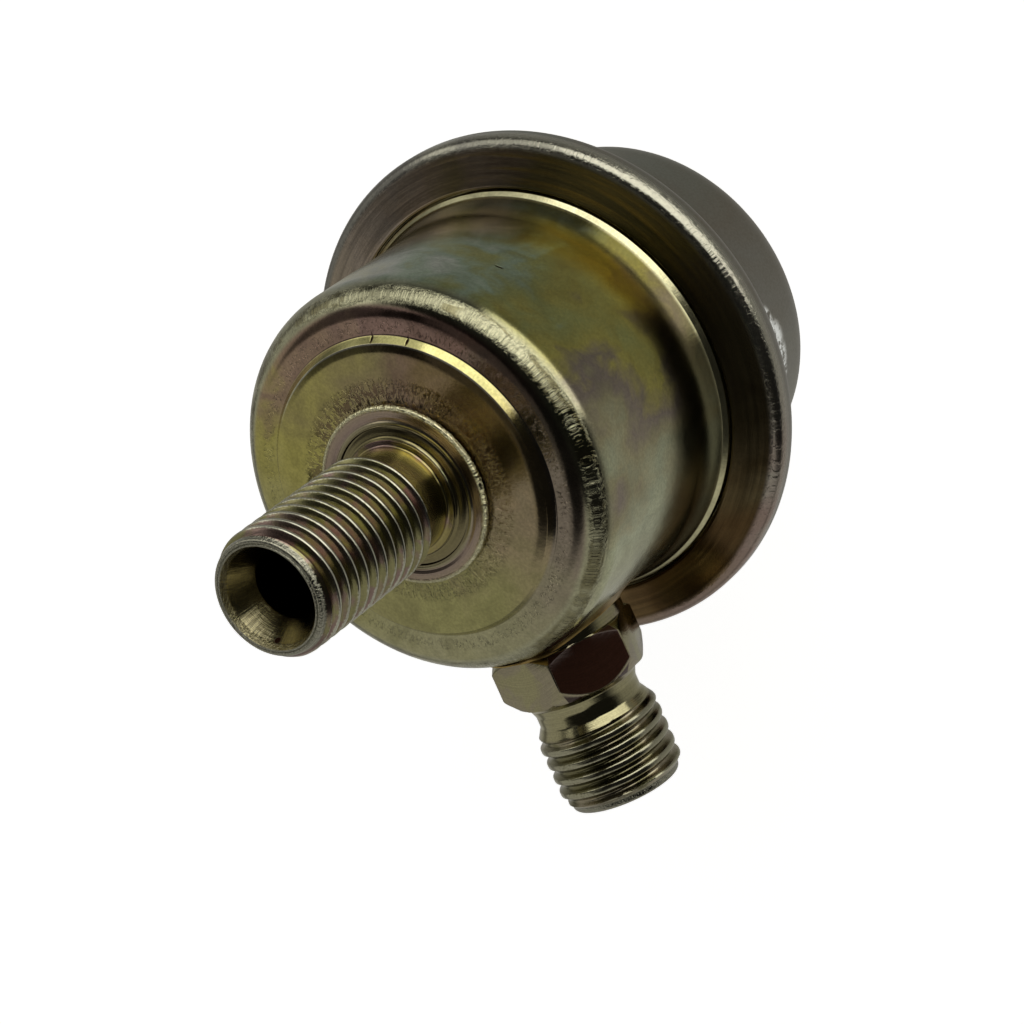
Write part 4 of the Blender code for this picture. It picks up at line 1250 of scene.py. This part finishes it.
@dataclass
class ReturnFitting:
    """Turned return stub: thread, cone seat, neck, boss and inner tube, in mm."""

    length: float = 22.1
    thread_start: float = 4.1
    thread_end: float = 21.6
    crest_at: float = 5.3
    chamfer_radius: float = 5.55
    chamfer_slope: float = 0.7
    neck_radius: float = 5.1
    cone_rim: float = 4.85
    cone_depth: float = 3.1
    bore_radius: float = 3.2
    boss_radius: float = 8.66
    boss_thickness: float = 0.5
    tube_radius: float = 5.0
    tube_end: float = -19.729
    pocket_radius: float = 4.1
    pocket_height: float = -17.229
    columns: int = 144

    def boss(self) -> Outline:
        """Section from the inner end over the boss to the thread's first ring."""
        return bend([
            (self.bore_radius, self.pocket_height),
            (self.pocket_radius, self.pocket_height),
            (self.pocket_radius, self.tube_end),
            (self.tube_radius, self.tube_end, 0.2),
            (self.tube_radius, -self.boss_thickness),
            (self.boss_radius, -self.boss_thickness, 0.08),
            (self.boss_radius, -0.02, 0.3),
            (7.62, -0.02, 0.1),
            (7.3, -0.15, 0.12),
            (7.1, 0.0, 0.1),
            (6.85, -0.06, 0.15),
            (6.8, 0.0, 1.5),
            (5.76, 0.14, 0.4),
            (5.66, 0.6, 0.06),
            (self.neck_radius, 0.7, 0.3),
            (self.neck_radius, self.thread_start - 0.05),
        ], closed=False, step=12.0, reach=0.06)

    def nose(self) -> Outline:
        """Section from the thread's last ring over the rim and the cone to the bore."""
        end = self.length
        return bend([
            (self.chamfer_radius, self.thread_end),
            (5.42, end - 0.05, 0.3),
            (5.12, end - 0.05, 0.08),
            (5.06, end - 0.16, 0.03),
            (4.99, end, 0.05),
            (self.cone_rim, end, 0.06),
            (self.bore_radius, end - self.cone_depth, 0.15),
            (self.bore_radius, self.pocket_height),
        ], closed=False, step=12.0, reach=0.06)[1:-1]

    def limit(self, height: float) -> float:
        """Largest radius of the thread at a height, for its run-in and the end chamfer."""
        run_in = self.neck_radius + max(0.0, height - self.thread_start)
        return min(run_in, self.chamfer_radius + (self.thread_end - height) * self.chamfer_slope)

    def build(self, finish: Material) -> bpy.types.Object:
        """Make the fitting.

        Args:
            finish: its material.

        Returns:
            The piece.
        """
        thread = Thread(self.thread_start, self.thread_end, self.crest_at)
        grid = bmesh.new()
        angles = even_angles(self.columns)
        first, last = thread.add(grid, angles, self.limit)
        boss = add_turned(grid, list(self.boss()), angles, last=first)
        add_turned(grid, list(self.nose()), angles, last, boss[0])
        mesh = finished_mesh("return_fitting_threaded", grid)
        return place_piece(mesh, finish, Body.HOUSING, Slot.FITTING, "return_fitting")


@dataclass
class InletFitting:
    """Turned side fitting: shank on the cup's wall, hexagon, neck, thread and nose, in mm.

    Distances run along its axis from the main axis, and angles round it from the main axis'
    +Z side.
    """

    height: float = -12.5
    cup_radius: float = 19.2
    gap: float = 0.3
    bore_radius: float = 3.1
    spigot_radius: float = 5.0
    spigot_end: float = 17.4
    shank_radius: float = 6.7
    hex_start: float = 19.65
    hex_end: float = 24.75
    flats: float = 13.0
    hex_turn: float = math.radians(-21.9)
    inner_chamfer: float = math.radians(50.0)
    outer_chamfer: float = math.radians(34.0)
    neck_radius: float = 5.1
    run_in: float = 27.4
    run_slope: float = 0.6
    thread_start: float = 28.2
    thread_end: float = 35.5
    crest_at: float = 29.27
    worn_profile: tuple[Point, ...] = (
        (0.00, 0.000), (0.16, 0.004), (0.25, 0.035), (0.31, 0.100), (0.47, 0.370),
        (0.58, 0.500), (0.64, 0.540), (0.69, 0.555), (0.75, 0.560))
    nose_radius: float = 5.4
    end: float = 36.1
    cone_rim: float = 4.3
    cone_depth: float = 2.1
    edge_round: float = 0.08
    inset: float = 0.15
    corner_blend: float = 0.035
    braze_width: float = 1.6
    braze_height: float = 0.7
    braze_columns: int = 180

    def placement(self) -> Matrix:
        """Placement that lays a piece turned about +Z along -X."""
        laid = Matrix.Rotation(-math.pi / 2.0, 4, "Y")
        return Matrix.Translation((0.0, 0.0, self.height * MM)) @ laid

    def wall(self, radius: float, angle: float) -> float:
        """Distance from the main axis to the cup's wall at a place round the inlet's axis."""
        return math.sqrt(self.cup_radius ** 2 - (radius * math.sin(angle)) ** 2)

    def angles(self) -> list[float]:
        """Angles of the columns, close together at the hexagon's corners."""
        shares = (0.0, 0.8, 1.8, 3.2, 5.0, 7.5, 11.0, 15.0, 19.5, 24.5, 30.0)
        turns = []
        for corner in range(6):
            start = self.hex_turn + math.radians(60.0 * corner)
            turns += [start + math.radians(share) for share in shares]
            turns += [start + math.radians(60.0 - share) for share in reversed(shares[1:-1])]
        return turns

    def across(self, angle: float) -> float:
        """Radius of the hexagon's side at an angle, its corners a little rounded.

        Args:
            angle: angle round the inlet's axis.

        Returns:
            The radius.
        """
        sector = math.pi / 3.0
        local = (angle - self.hex_turn) % sector - 0.5 * sector
        sides = [0.5 * self.flats / math.cos(local + shift) for shift in (-sector, 0.0, sector)
                 if abs(local + shift) < 1.4]
        nearest = min(sides)
        return nearest - self.corner_blend * math.log(
            sum(math.exp(-(side - nearest) / self.corner_blend) for side in sides))

    def on_foot(self, radius: float, rise_mm: float, angle: float) -> Point:
        """Point of the shank or the braze that stands a height above the wall."""
        return (radius * MM, (self.wall(radius, angle) + rise_mm) * MM)

    def on_hexagon(self, part: int, edge: float, chamfer: float, angle: float) -> Point:
        """Point over one turned chamfer of the hexagon.

        Args:
            part: 0 for the chamfer's start, 1 for its end, 2 for a point on the flat.
            edge: distance of the hexagon's end from the main axis.
            chamfer: angle of the chamfer, negative at the outer end.
            angle: angle round the inlet's axis.

        Returns:
            Its radius and distance.
        """
        apothem = 0.5 * self.flats
        above = self.across(angle) - apothem
        share = max(0.0, 1.0 - self.edge_round / max(above, 1e-9))
        length = above / math.tan(chamfer)
        if part == 0:
            return ((apothem - self.inset) * MM, edge * MM)
        if part == 1:
            return ((apothem + above * share) * MM, (edge + length * share) * MM)
        beyond = math.copysign(self.edge_round, chamfer)
        return ((apothem + above) * MM, (edge + length + beyond) * MM)

    def limit(self, height: float) -> float:
        """Largest radius of the thread at a distance, for the run-in and the end chamfer."""
        run_in = self.neck_radius + (height - self.run_in) * self.run_slope
        return min(run_in, self.nose_radius + (self.thread_end - height))

    def places(self) -> list[Place]:
        """Rings from the spigot over the shank, the hexagon and the neck to the thread."""
        apothem = 0.5 * self.flats
        inner = [partial(self.on_hexagon, part, self.hex_start, self.inner_chamfer)
                 for part in (0, 1, 2)]
        outer = [partial(self.on_hexagon, part, self.hex_end, -self.outer_chamfer)
                 for part in (2, 1, 0)]
        neck = bend([
            (apothem - self.inset, self.hex_end),
            (5.95, self.hex_end + 0.02, 0.1),
            (5.45, self.hex_end + 0.6, 0.6),
            (self.neck_radius, self.hex_end + 1.5, 1.0),
            (self.neck_radius, self.run_in, 0.4),
            (self.neck_radius + (self.thread_start - self.run_in) * self.run_slope,
             self.thread_start),
        ], closed=False)[1:-1]
        return [
            (self.bore_radius * MM, self.spigot_end * MM),
            (self.spigot_radius * MM, self.spigot_end * MM),
            partial(self.on_foot, self.spigot_radius, 0.0),
            partial(self.on_foot, self.shank_radius, 0.0),
            (self.shank_radius * MM, (self.hex_start - 0.05) * MM),
            ((self.shank_radius - 0.1) * MM, self.hex_start * MM),
            *inner, *outer, *neck]

    def nose(self) -> Outline:
        """Section from the thread's last ring over the nose and the cone to the bore."""
        return bend([
            (self.nose_radius, self.thread_end - 0.1),
            (self.nose_radius, self.end, 0.35),
            (self.cone_rim, self.end, 0.08),
            (self.bore_radius, self.end - self.cone_depth, 0.1),
            (self.bore_radius, self.spigot_end)], closed=False)[1:-1]

    def braze(self) -> list[Place]:
        """Hollow fillet of braze round the shank's foot, its edge and height a little uneven."""
        sections = [(0.0, -0.2), (1.0, -0.2)]
        sections += [(1.0 + x, 1.0 + y) for x, y in arc((0.0, 0.0), 1.0, -0.5 * math.pi,
                                                         -0.5 * math.pi, 7)]

        def place(share: float, rise_share: float, angle: float) -> Point:
            """Point of the fillet from its shares of the width and the height."""
            wave = 1.0 + 0.10 * math.sin(3.0 * angle + 0.6) + 0.06 * math.sin(7.0 * angle + 2.0)
            radius = self.shank_radius - 0.05 + self.braze_width * wave * share
            return self.on_foot(radius, self.braze_height * rise_share * (2.0 - wave), angle)

        return [partial(place, share, rise_share) for share, rise_share in sections]

    def build(self, finish: Material, braze: Material) -> None:
        """Make the fitting and its ring of braze.

        Args:
            finish: material of the fitting.
            braze: material of the braze.
        """
        grid = bmesh.new()
        angles = self.angles()
        thread = Thread(self.thread_start, self.thread_end, self.crest_at,
                        half_profile=self.worn_profile)
        first, last = thread.add(grid, angles, self.limit)
        rings = add_turned(grid, self.places(), angles, last=first)
        add_turned(grid, list(self.nose()), angles, last, rings[0])
        mesh = finished_mesh("inlet_fitting_threaded", grid)
        place_piece(mesh, finish, Body.HOUSING, Slot.FITTING, "inlet_fitting",
                    placement=self.placement())
        ring = turn_mesh("inlet_braze_fillet", self.braze(), even_angles(self.braze_columns))
        place_piece(ring, braze, Body.HOUSING, Slot.BRAZE, "inlet_braze_ring",
                    placement=self.placement())


@dataclass
class VacuumNipple:
    """Turned hose nipple with one bead, headed over in the spring cup's end, in mm."""

    end: float = -62.0
    cup_end: float = -47.3
    radius: float = 2.5
    bore_radius: float = 1.3
    bead_radius: float = 3.0
    shoulder_radius: float = 5.2
    spigot_radius: float = 3.0
    head_radius: float = 4.0
    braze_width: float = 1.3
    columns: int = 96

    def build(self, finish: Material, braze: Material) -> None:
        """Make the nipple and its ring of braze.

        Args:
            finish: material of the nipple.
            braze: material of the braze.
        """
        neck, head_end = self.cup_end - 1.5, self.cup_end + 1.9
        outline = bend([
            (self.bore_radius, head_end),
            (self.bore_radius, self.end, 0.25),
            (self.radius, self.end, 0.35),
            (self.radius, self.end + 1.2, 0.2),
            (self.bead_radius, self.end + 2.2, 0.4),
            (self.bead_radius, self.end + 2.9, 0.25),
            (self.radius, self.end + 3.4, 0.15),
            (self.radius, neck, 0.5),
            (self.shoulder_radius, neck, 0.3),
            (self.shoulder_radius, self.cup_end - 0.3, 0.1),
            (self.spigot_radius, self.cup_end - 0.3),
            (self.spigot_radius, self.cup_end + 1.2),
            (self.head_radius, self.cup_end + 1.2, 0.2),
            (self.head_radius, head_end, 0.3),
        ])
        angles = even_angles(self.columns)
        place_piece(turn_mesh("vacuum_nipple_turned", list(outline), angles), finish,
                    Body.HOUSING, Slot.NIPPLE, "vacuum_nipple")
        inner, foot = self.shoulder_radius + 0.02, self.cup_end + 0.05
        hollow = arc((inner + self.braze_width, foot - self.braze_width), self.braze_width,
                     0.5 * math.pi, 0.5 * math.pi, 8)
        section = in_metres([(inner, foot), *hollow])
        place_piece(turn_mesh("nipple_braze_fillet", list(section), angles), braze,
                    Body.HOUSING, Slot.BRAZE, "nipple_braze_ring")


# Inner pieces


@dataclass
class CoilSpring:
    """Compression spring of round wire, with closed turns at both ends, in mm."""

    name: str
    coil_radius: float
    wire_radius: float
    top: float
    bottom: float
    turns: float
    closed_turns: float
    gap: float = 0.3
    sections: int = 48
    sides: int = 16

    def height(self, turn: float) -> float:
        """Height of the wire's centre after a number of turns from the top.

        Args:
            turn: the turns.

        Returns:
            The height.
        """
        closed_pitch = 2.0 * self.wire_radius + self.gap
        first, last = self.top - self.wire_radius, self.bottom + self.wire_radius
        total = self.turns + 2.0 * self.closed_turns
        if turn < self.closed_turns:
            return first - turn * closed_pitch
        if turn > total - self.closed_turns:
            return last + (total - turn) * closed_pitch
        drop = (first - last) - 2.0 * self.closed_turns * closed_pitch
        return first - self.closed_turns * closed_pitch - drop * (
            turn - self.closed_turns) / self.turns

    def mesh(self) -> Mesh:
        """Sweep the wire's round section, with its sheared ends rounded over."""
        grid = bmesh.new()
        total = self.turns + 2.0 * self.closed_turns
        count = round(total * self.sections)
        rings = []
        for section in range(-2, count + 3):
            at_end = max(0, -section, section - count)
            turn = total * min(max(section, 0), count) / count
            scale = (1.0, 0.8, 0.0)[at_end]
            angle = math.tau * turn + math.copysign(
                (0.0, 0.35, 0.5)[at_end] * self.wire_radius / self.coil_radius, section)
            ring = []
            for side in range(self.sides):
                tilt = math.tau * side / self.sides
                out = self.coil_radius + self.wire_radius * scale * math.cos(tilt)
                up = self.height(turn) + self.wire_radius * scale * math.sin(tilt)
                ring.append(grid.verts.new(at_turn(out * MM, angle, up * MM)))
            rings.append(ring)
        join_rings(grid, rings)
        return finished_mesh(self.name, grid)


@dataclass
class Diaphragm:
    """Fabric-backed rubber disc with one convolution, in radial sectors, in mm.

    Each sector is a piece of its own that rides on no body.
    """

    flange: CrimpedFlange
    hole_radius: float = 3.3
    front: float = -26.229
    thickness: float = 0.5
    roll_inner: float = 12.25
    roll_outer: float = 16.95
    clamp_radius: float = 18.3
    tip_radius: float = 24.1
    clamp_depth: float = 2.3
    bend_start: float = 12.0
    bend_end: float = 16.4
    sectors: int = 12
    steps: int = 12

    def outline(self) -> Outline:
        """Closed section of the disc."""
        centre = (0.5 * (self.roll_inner + self.roll_outer), self.front - 0.5 * self.thickness)
        outer = 0.5 * (self.roll_outer - self.roll_inner)
        back = self.clamp_depth + self.thickness
        points = [
            (self.hole_radius, self.front),
            *arc(centre, outer - self.thickness, math.pi, math.pi, 14),
            (self.clamp_radius, self.front),
            self.flange.at(self.tip_radius, self.clamp_depth),
            self.flange.at(self.tip_radius, back),
            self.flange.at(self.clamp_radius, back),
            *arc(centre, outer, math.tau, -math.pi, 14),
            (self.hole_radius, self.front - self.thickness)]
        return divided(in_metres(points), 1.5 * MM)

    def build(self, finish: Material) -> None:
        """Make the sectors with a finish.

        Args:
            finish: their material.
        """
        sweep = math.tau / self.sectors
        for sector in range(self.sectors):
            middle = (sector + 0.5) * sweep
            angles = [sweep * (sector + step / self.steps) for step in range(self.steps + 1)]
            grid = bmesh.new()
            rings = add_turned(grid, list(self.outline()), angles, around=False)
            add_turned(grid, [], angles, rings[-1], rings[0], around=False)
            grid.faces.new([ring[0] for ring in rings])
            grid.faces.new([ring[-1] for ring in reversed(rings)])
            mesh = finished_mesh(f"diaphragm_sector_{sector + 1:02d}", grid)
            piece = place_piece(mesh, finish, None, Slot.RUBBER, "diaphragm")
            start, end = (at_turn(radius * MM, middle, 0.0)
                          for radius in (self.bend_start, self.bend_end))
            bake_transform(piece)
            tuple(start)
            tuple(end)


@dataclass
class ValveGroup:
    """The springs, the diaphragm and the small pieces inside."""

    flange: CrimpedFlange

    def build(self, wire: Material, rubber: Material) -> None:
        """Make the pieces that replace their nodes.

        Args:
            wire: material of the springs.
            rubber: material of the diaphragm.
        """
        main_spring = CoilSpring("main_spring_wound", coil_radius=9.35, wire_radius=1.05,
                                 top=-28.229, bottom=-44.9, turns=3.5, closed_turns=1.0)
        piece = place_piece(main_spring.mesh(), wire, Body.HOUSING, Slot.WIRE, "main_spring")
        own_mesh(piece)
        ball_spring = CoilSpring("ball_spring_wound", coil_radius=1.3, wire_radius=0.2,
                                 top=-25.479, bottom=-28.329, turns=4.0, closed_turns=0.0,
                                 sections=32, sides=10)
        place_piece(ball_spring.mesh(), wire, Body.VALVE, Slot.WIRE, "ball_spring")
        Diaphragm(self.flange).build(rubber)

    def dress(self, finishes: dict[str, Material]) -> None:
        """Give CAD nodes whose shape is right their finished materials.

        Args:
            finishes: the material of each node.
        """
        for name, finish in finishes.items():
            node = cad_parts[name]
            for held in node.material_slots:
                held.material = finish
            LOG.info("%s: CAD shape kept, %s", name, finish.name)


# Studio


@dataclass(frozen=True)
class LitPatch:
    """A lit patch of the room, in degrees: its centre, its half sizes and its soft edge."""

    azimuth: float
    elevation: float
    half_width: float
    half_height: float
    soft: float
    radiance: float


@dataclass
class Studio:
    """Camera, floor and light.

    The patches are a tall window, its softer side, its low part, a wide fill, a shaded corner
    over the fill (negative) and a dim ceiling. The glow comes from below the horizon, strongest
    on one side; dim and dimmest are the least that the room gives before and after the patches.
    """

    eye: tuple[float, float, float] = (0.05794, -0.19574, 0.23806)
    right: tuple[float, float, float] = (-0.40079, -0.77088, -0.49509)
    up: tuple[float, float, float] = (0.89376, -0.21020, -0.39622)
    forward: tuple[float, float, float] = (-0.20137, 0.60130, -0.77323)
    lens: float = 123.05
    floor_height: float = -62.05 * MM
    paper: str = "#F4F4F4"
    glow_side: tuple[float, float, float] = (-0.85, 0.5, 0.0)
    glow: Span = (0.15, 0.45)
    glow_from: Span = (0.05, -0.45)
    dim: float = 0.012
    dimmest: float = 0.01
    patches: tuple[LitPatch, ...] = (
        LitPatch(-39.0, 23.0, 33.0, 20.0, 5.0, 1.6),
        LitPatch(17.0, 21.0, 26.0, 16.0, 6.0, 0.6),
        LitPatch(-61.0, -8.5, 31.0, 12.5, 3.5, 1.35),
        LitPatch(118.0, 27.0, 88.0, 31.0, 5.5, 0.37),
        LitPatch(61.0, 47.0, 20.0, 15.0, 5.0, -0.31),
        LitPatch(75.0, 70.0, 50.0, 12.0, 5.0, 0.075))

    def camera(self) -> None:
        """Put the camera where the photograph was taken from."""
        data = bpy.data.cameras.new("camera")
        data.lens = self.lens
        data.sensor_width = 36.0
        data.clip_start = 0.01
        data.clip_end = 20.0
        camera = add_object("camera", data)
        axes = Matrix((self.right, self.up, [-part for part in self.forward])).transposed()
        camera.matrix_world = Matrix.Translation(self.eye) @ axes.to_4x4()
        bpy.context.scene.camera = camera

    def floor(self) -> None:
        """Lay a plain pale floor."""
        data = bmesh.new()
        bmesh.ops.create_grid(data, x_segments=1, y_segments=1, size=3.0)
        floor = add_object("floor", plain_mesh("floor", data))
        floor.location.z = self.floor_height
        material = bpy.data.materials.new("floor_paper")
        tree = blank_tree(material)
        paper = add_node(tree, "BsdfPrincipled", {
            "Base Color": self.paper, "Roughness": 0.9, "Emission Color": "#FFFFFF",
            "Emission Strength": 0.8})
        add_node(tree, "OutputMaterial", {"Surface": paper})
        floor.data.materials.append(material)
        floor.visible_glossy = False

    def lit(self, tree: Tree, azimuth: Any, elevation: Any, patch: LitPatch) -> Node:
        """Mask of one lit patch of the room.

        Args:
            tree: node tree of the room.
            azimuth: direction round the main axis from +X, in radians.
            elevation: direction above the floor, in radians.
            patch: the patch.

        Returns:
            The node that gives it.
        """
        add = partial(add_node, tree)
        aside, above = (add("Math", {0: angle, 1: math.radians(centre)}, **MINUS)
                        for angle, centre in ((azimuth, patch.azimuth),
                                              (elevation, patch.elevation)))
        aside = add("Math", {0: aside, 1: math.pi, 2: -math.pi}, operation="WRAP")
        shares = []
        for away, half in ((aside, patch.half_width), (above, patch.half_height)):
            far, near = (math.radians(half + side * patch.soft) for side in (1.0, -1.0))
            distance = add("Math", {0: away}, operation="ABSOLUTE")
            shares.append(add("MapRange", rise(distance, far, near), **SMOOTH))
        return add("Math", {0: shares[0], 1: shares[1]}, **TIMES)

    def light(self) -> None:
        """Light the part: a dim room with a low glow, a window, a wide fill and a ceiling."""
        world = bpy.data.worlds.new("room")
        bpy.context.scene.world = world
        tree = blank_tree(world)
        add = partial(add_node, tree)
        way = add("TexCoord").outputs["Generated"]
        parts = add("SeparateXYZ", {0: way})
        azimuth = add("Math", {0: parts.outputs["Y"], 1: parts.outputs["X"]}, operation="ARCTAN2")
        elevation = add("Math", {0: parts.outputs["Z"]}, operation="ARCSINE")
        west = add("VectorMath", {0: way, 1: self.glow_side}, operation="DOT_PRODUCT")
        low = add("MapRange", {0: west, 1: -1.0, 2: 1.0, 3: self.glow[0], 4: self.glow[1]})
        down = add("MapRange", rise(parts.outputs["Z"], *self.glow_from), **SMOOTH)
        glow = add("Math", {0: low, 1: down, 2: self.dim}, **TIMES_PLUS)
        for patch in self.patches:
            lit = self.lit(tree, azimuth, elevation, patch)
            glow = add("Math", {0: lit, 1: patch.radiance, 2: glow}, **TIMES_PLUS)
        glow = add("Math", {0: glow, 1: self.dimmest}, operation="MAXIMUM")
        room = add("Background", {"Color": "#FFFDF6", "Strength": glow})
        pale = add("Background", {"Color": self.paper})
        seen = add("LightPath").outputs["Is Camera Ray"]
        add("OutputWorld", {"Surface": add("MixShader", {0: seen, 1: room, 2: pale})})

    def build(self) -> None:
        """Set up camera, floor and light."""
        bpy.context.scene.view_settings.view_transform = "Standard"
        self.camera()
        self.floor()
        self.light()


def main() -> None:
    """Build the regulator's pieces in order and report each."""
    logging.basicConfig(level=logging.INFO, format="%(message)s")
    Studio().build()
    flange = CrimpedFlange()
    inlet = InletFitting()
    braze = WorkedMetal("brazing_metal", Making.BRAZED, "#B39A5E", "#8A7040", 0.32).build()
    zinc = WorkedMetal("zinc_plated_sheet", Making.PRESSED, "#B4B4AE", "#94948E", 0.34).build()
    steel = WorkedMetal("lapped_steel", Making.LAPPED, "#C2C2C2", "#A2A2A2", 0.18).build()
    brass = WorkedMetal("turned_brass", Making.TURNED, "#D8B874", "#B8904C", 0.25).build()
    wire = WorkedMetal("drawn_spring_wire", Making.DRAWN, "#8E9092", "#6A6B6D", 0.30).build()
    nipple = WorkedMetal("pale_chromate_nipple", Making.TURNED, "#B2B096", "#94927C",
                         0.26).build()
    rubber = FabricRubber("fabric_rubber").build()
    FuelCup(flange).build(ChromatedCup("yellow_chromate_drawn_steel").build(),
                          inlet.spigot_radius + inlet.gap, inlet.placement())
    SpringCup(flange).build(ChromatedRearCup("pale_chromate_drawn_steel").build())
    ReturnFitting().build(ChromatedFitting("yellow_chromate_return_stub").build())
    inlet.build(ChromatedFitting(
        "yellow_chromate_inlet_stub", body="#A8A27C", pink="#A39A82", straw="#ADA782",
        flank="#7E7A5A", root="#3E342A", crest="#B0AD94",
        neck_low=25.4, thread_low=28.3, thread_high=35.3, cone_low=34.0, cone_rim=4.3,
        roughness=0.12, boss_height=-9.0, stains=(), shade_flat_turns=(0.2735, 0.4382)).build(), braze)
    VacuumNipple().build(nipple, braze)
    valve = ValveGroup(flange)
    valve.build(wire, rubber)
    valve.dress({
        "valve_seat": steel, "return_braze_ring": braze, "valve_holder": brass,
        "valve_plate": steel, "valve_ball": steel, "snap_ring": wire, "spring_plate": zinc,
        "spring_pan": zinc})


if __name__ == "__main__":
    main()
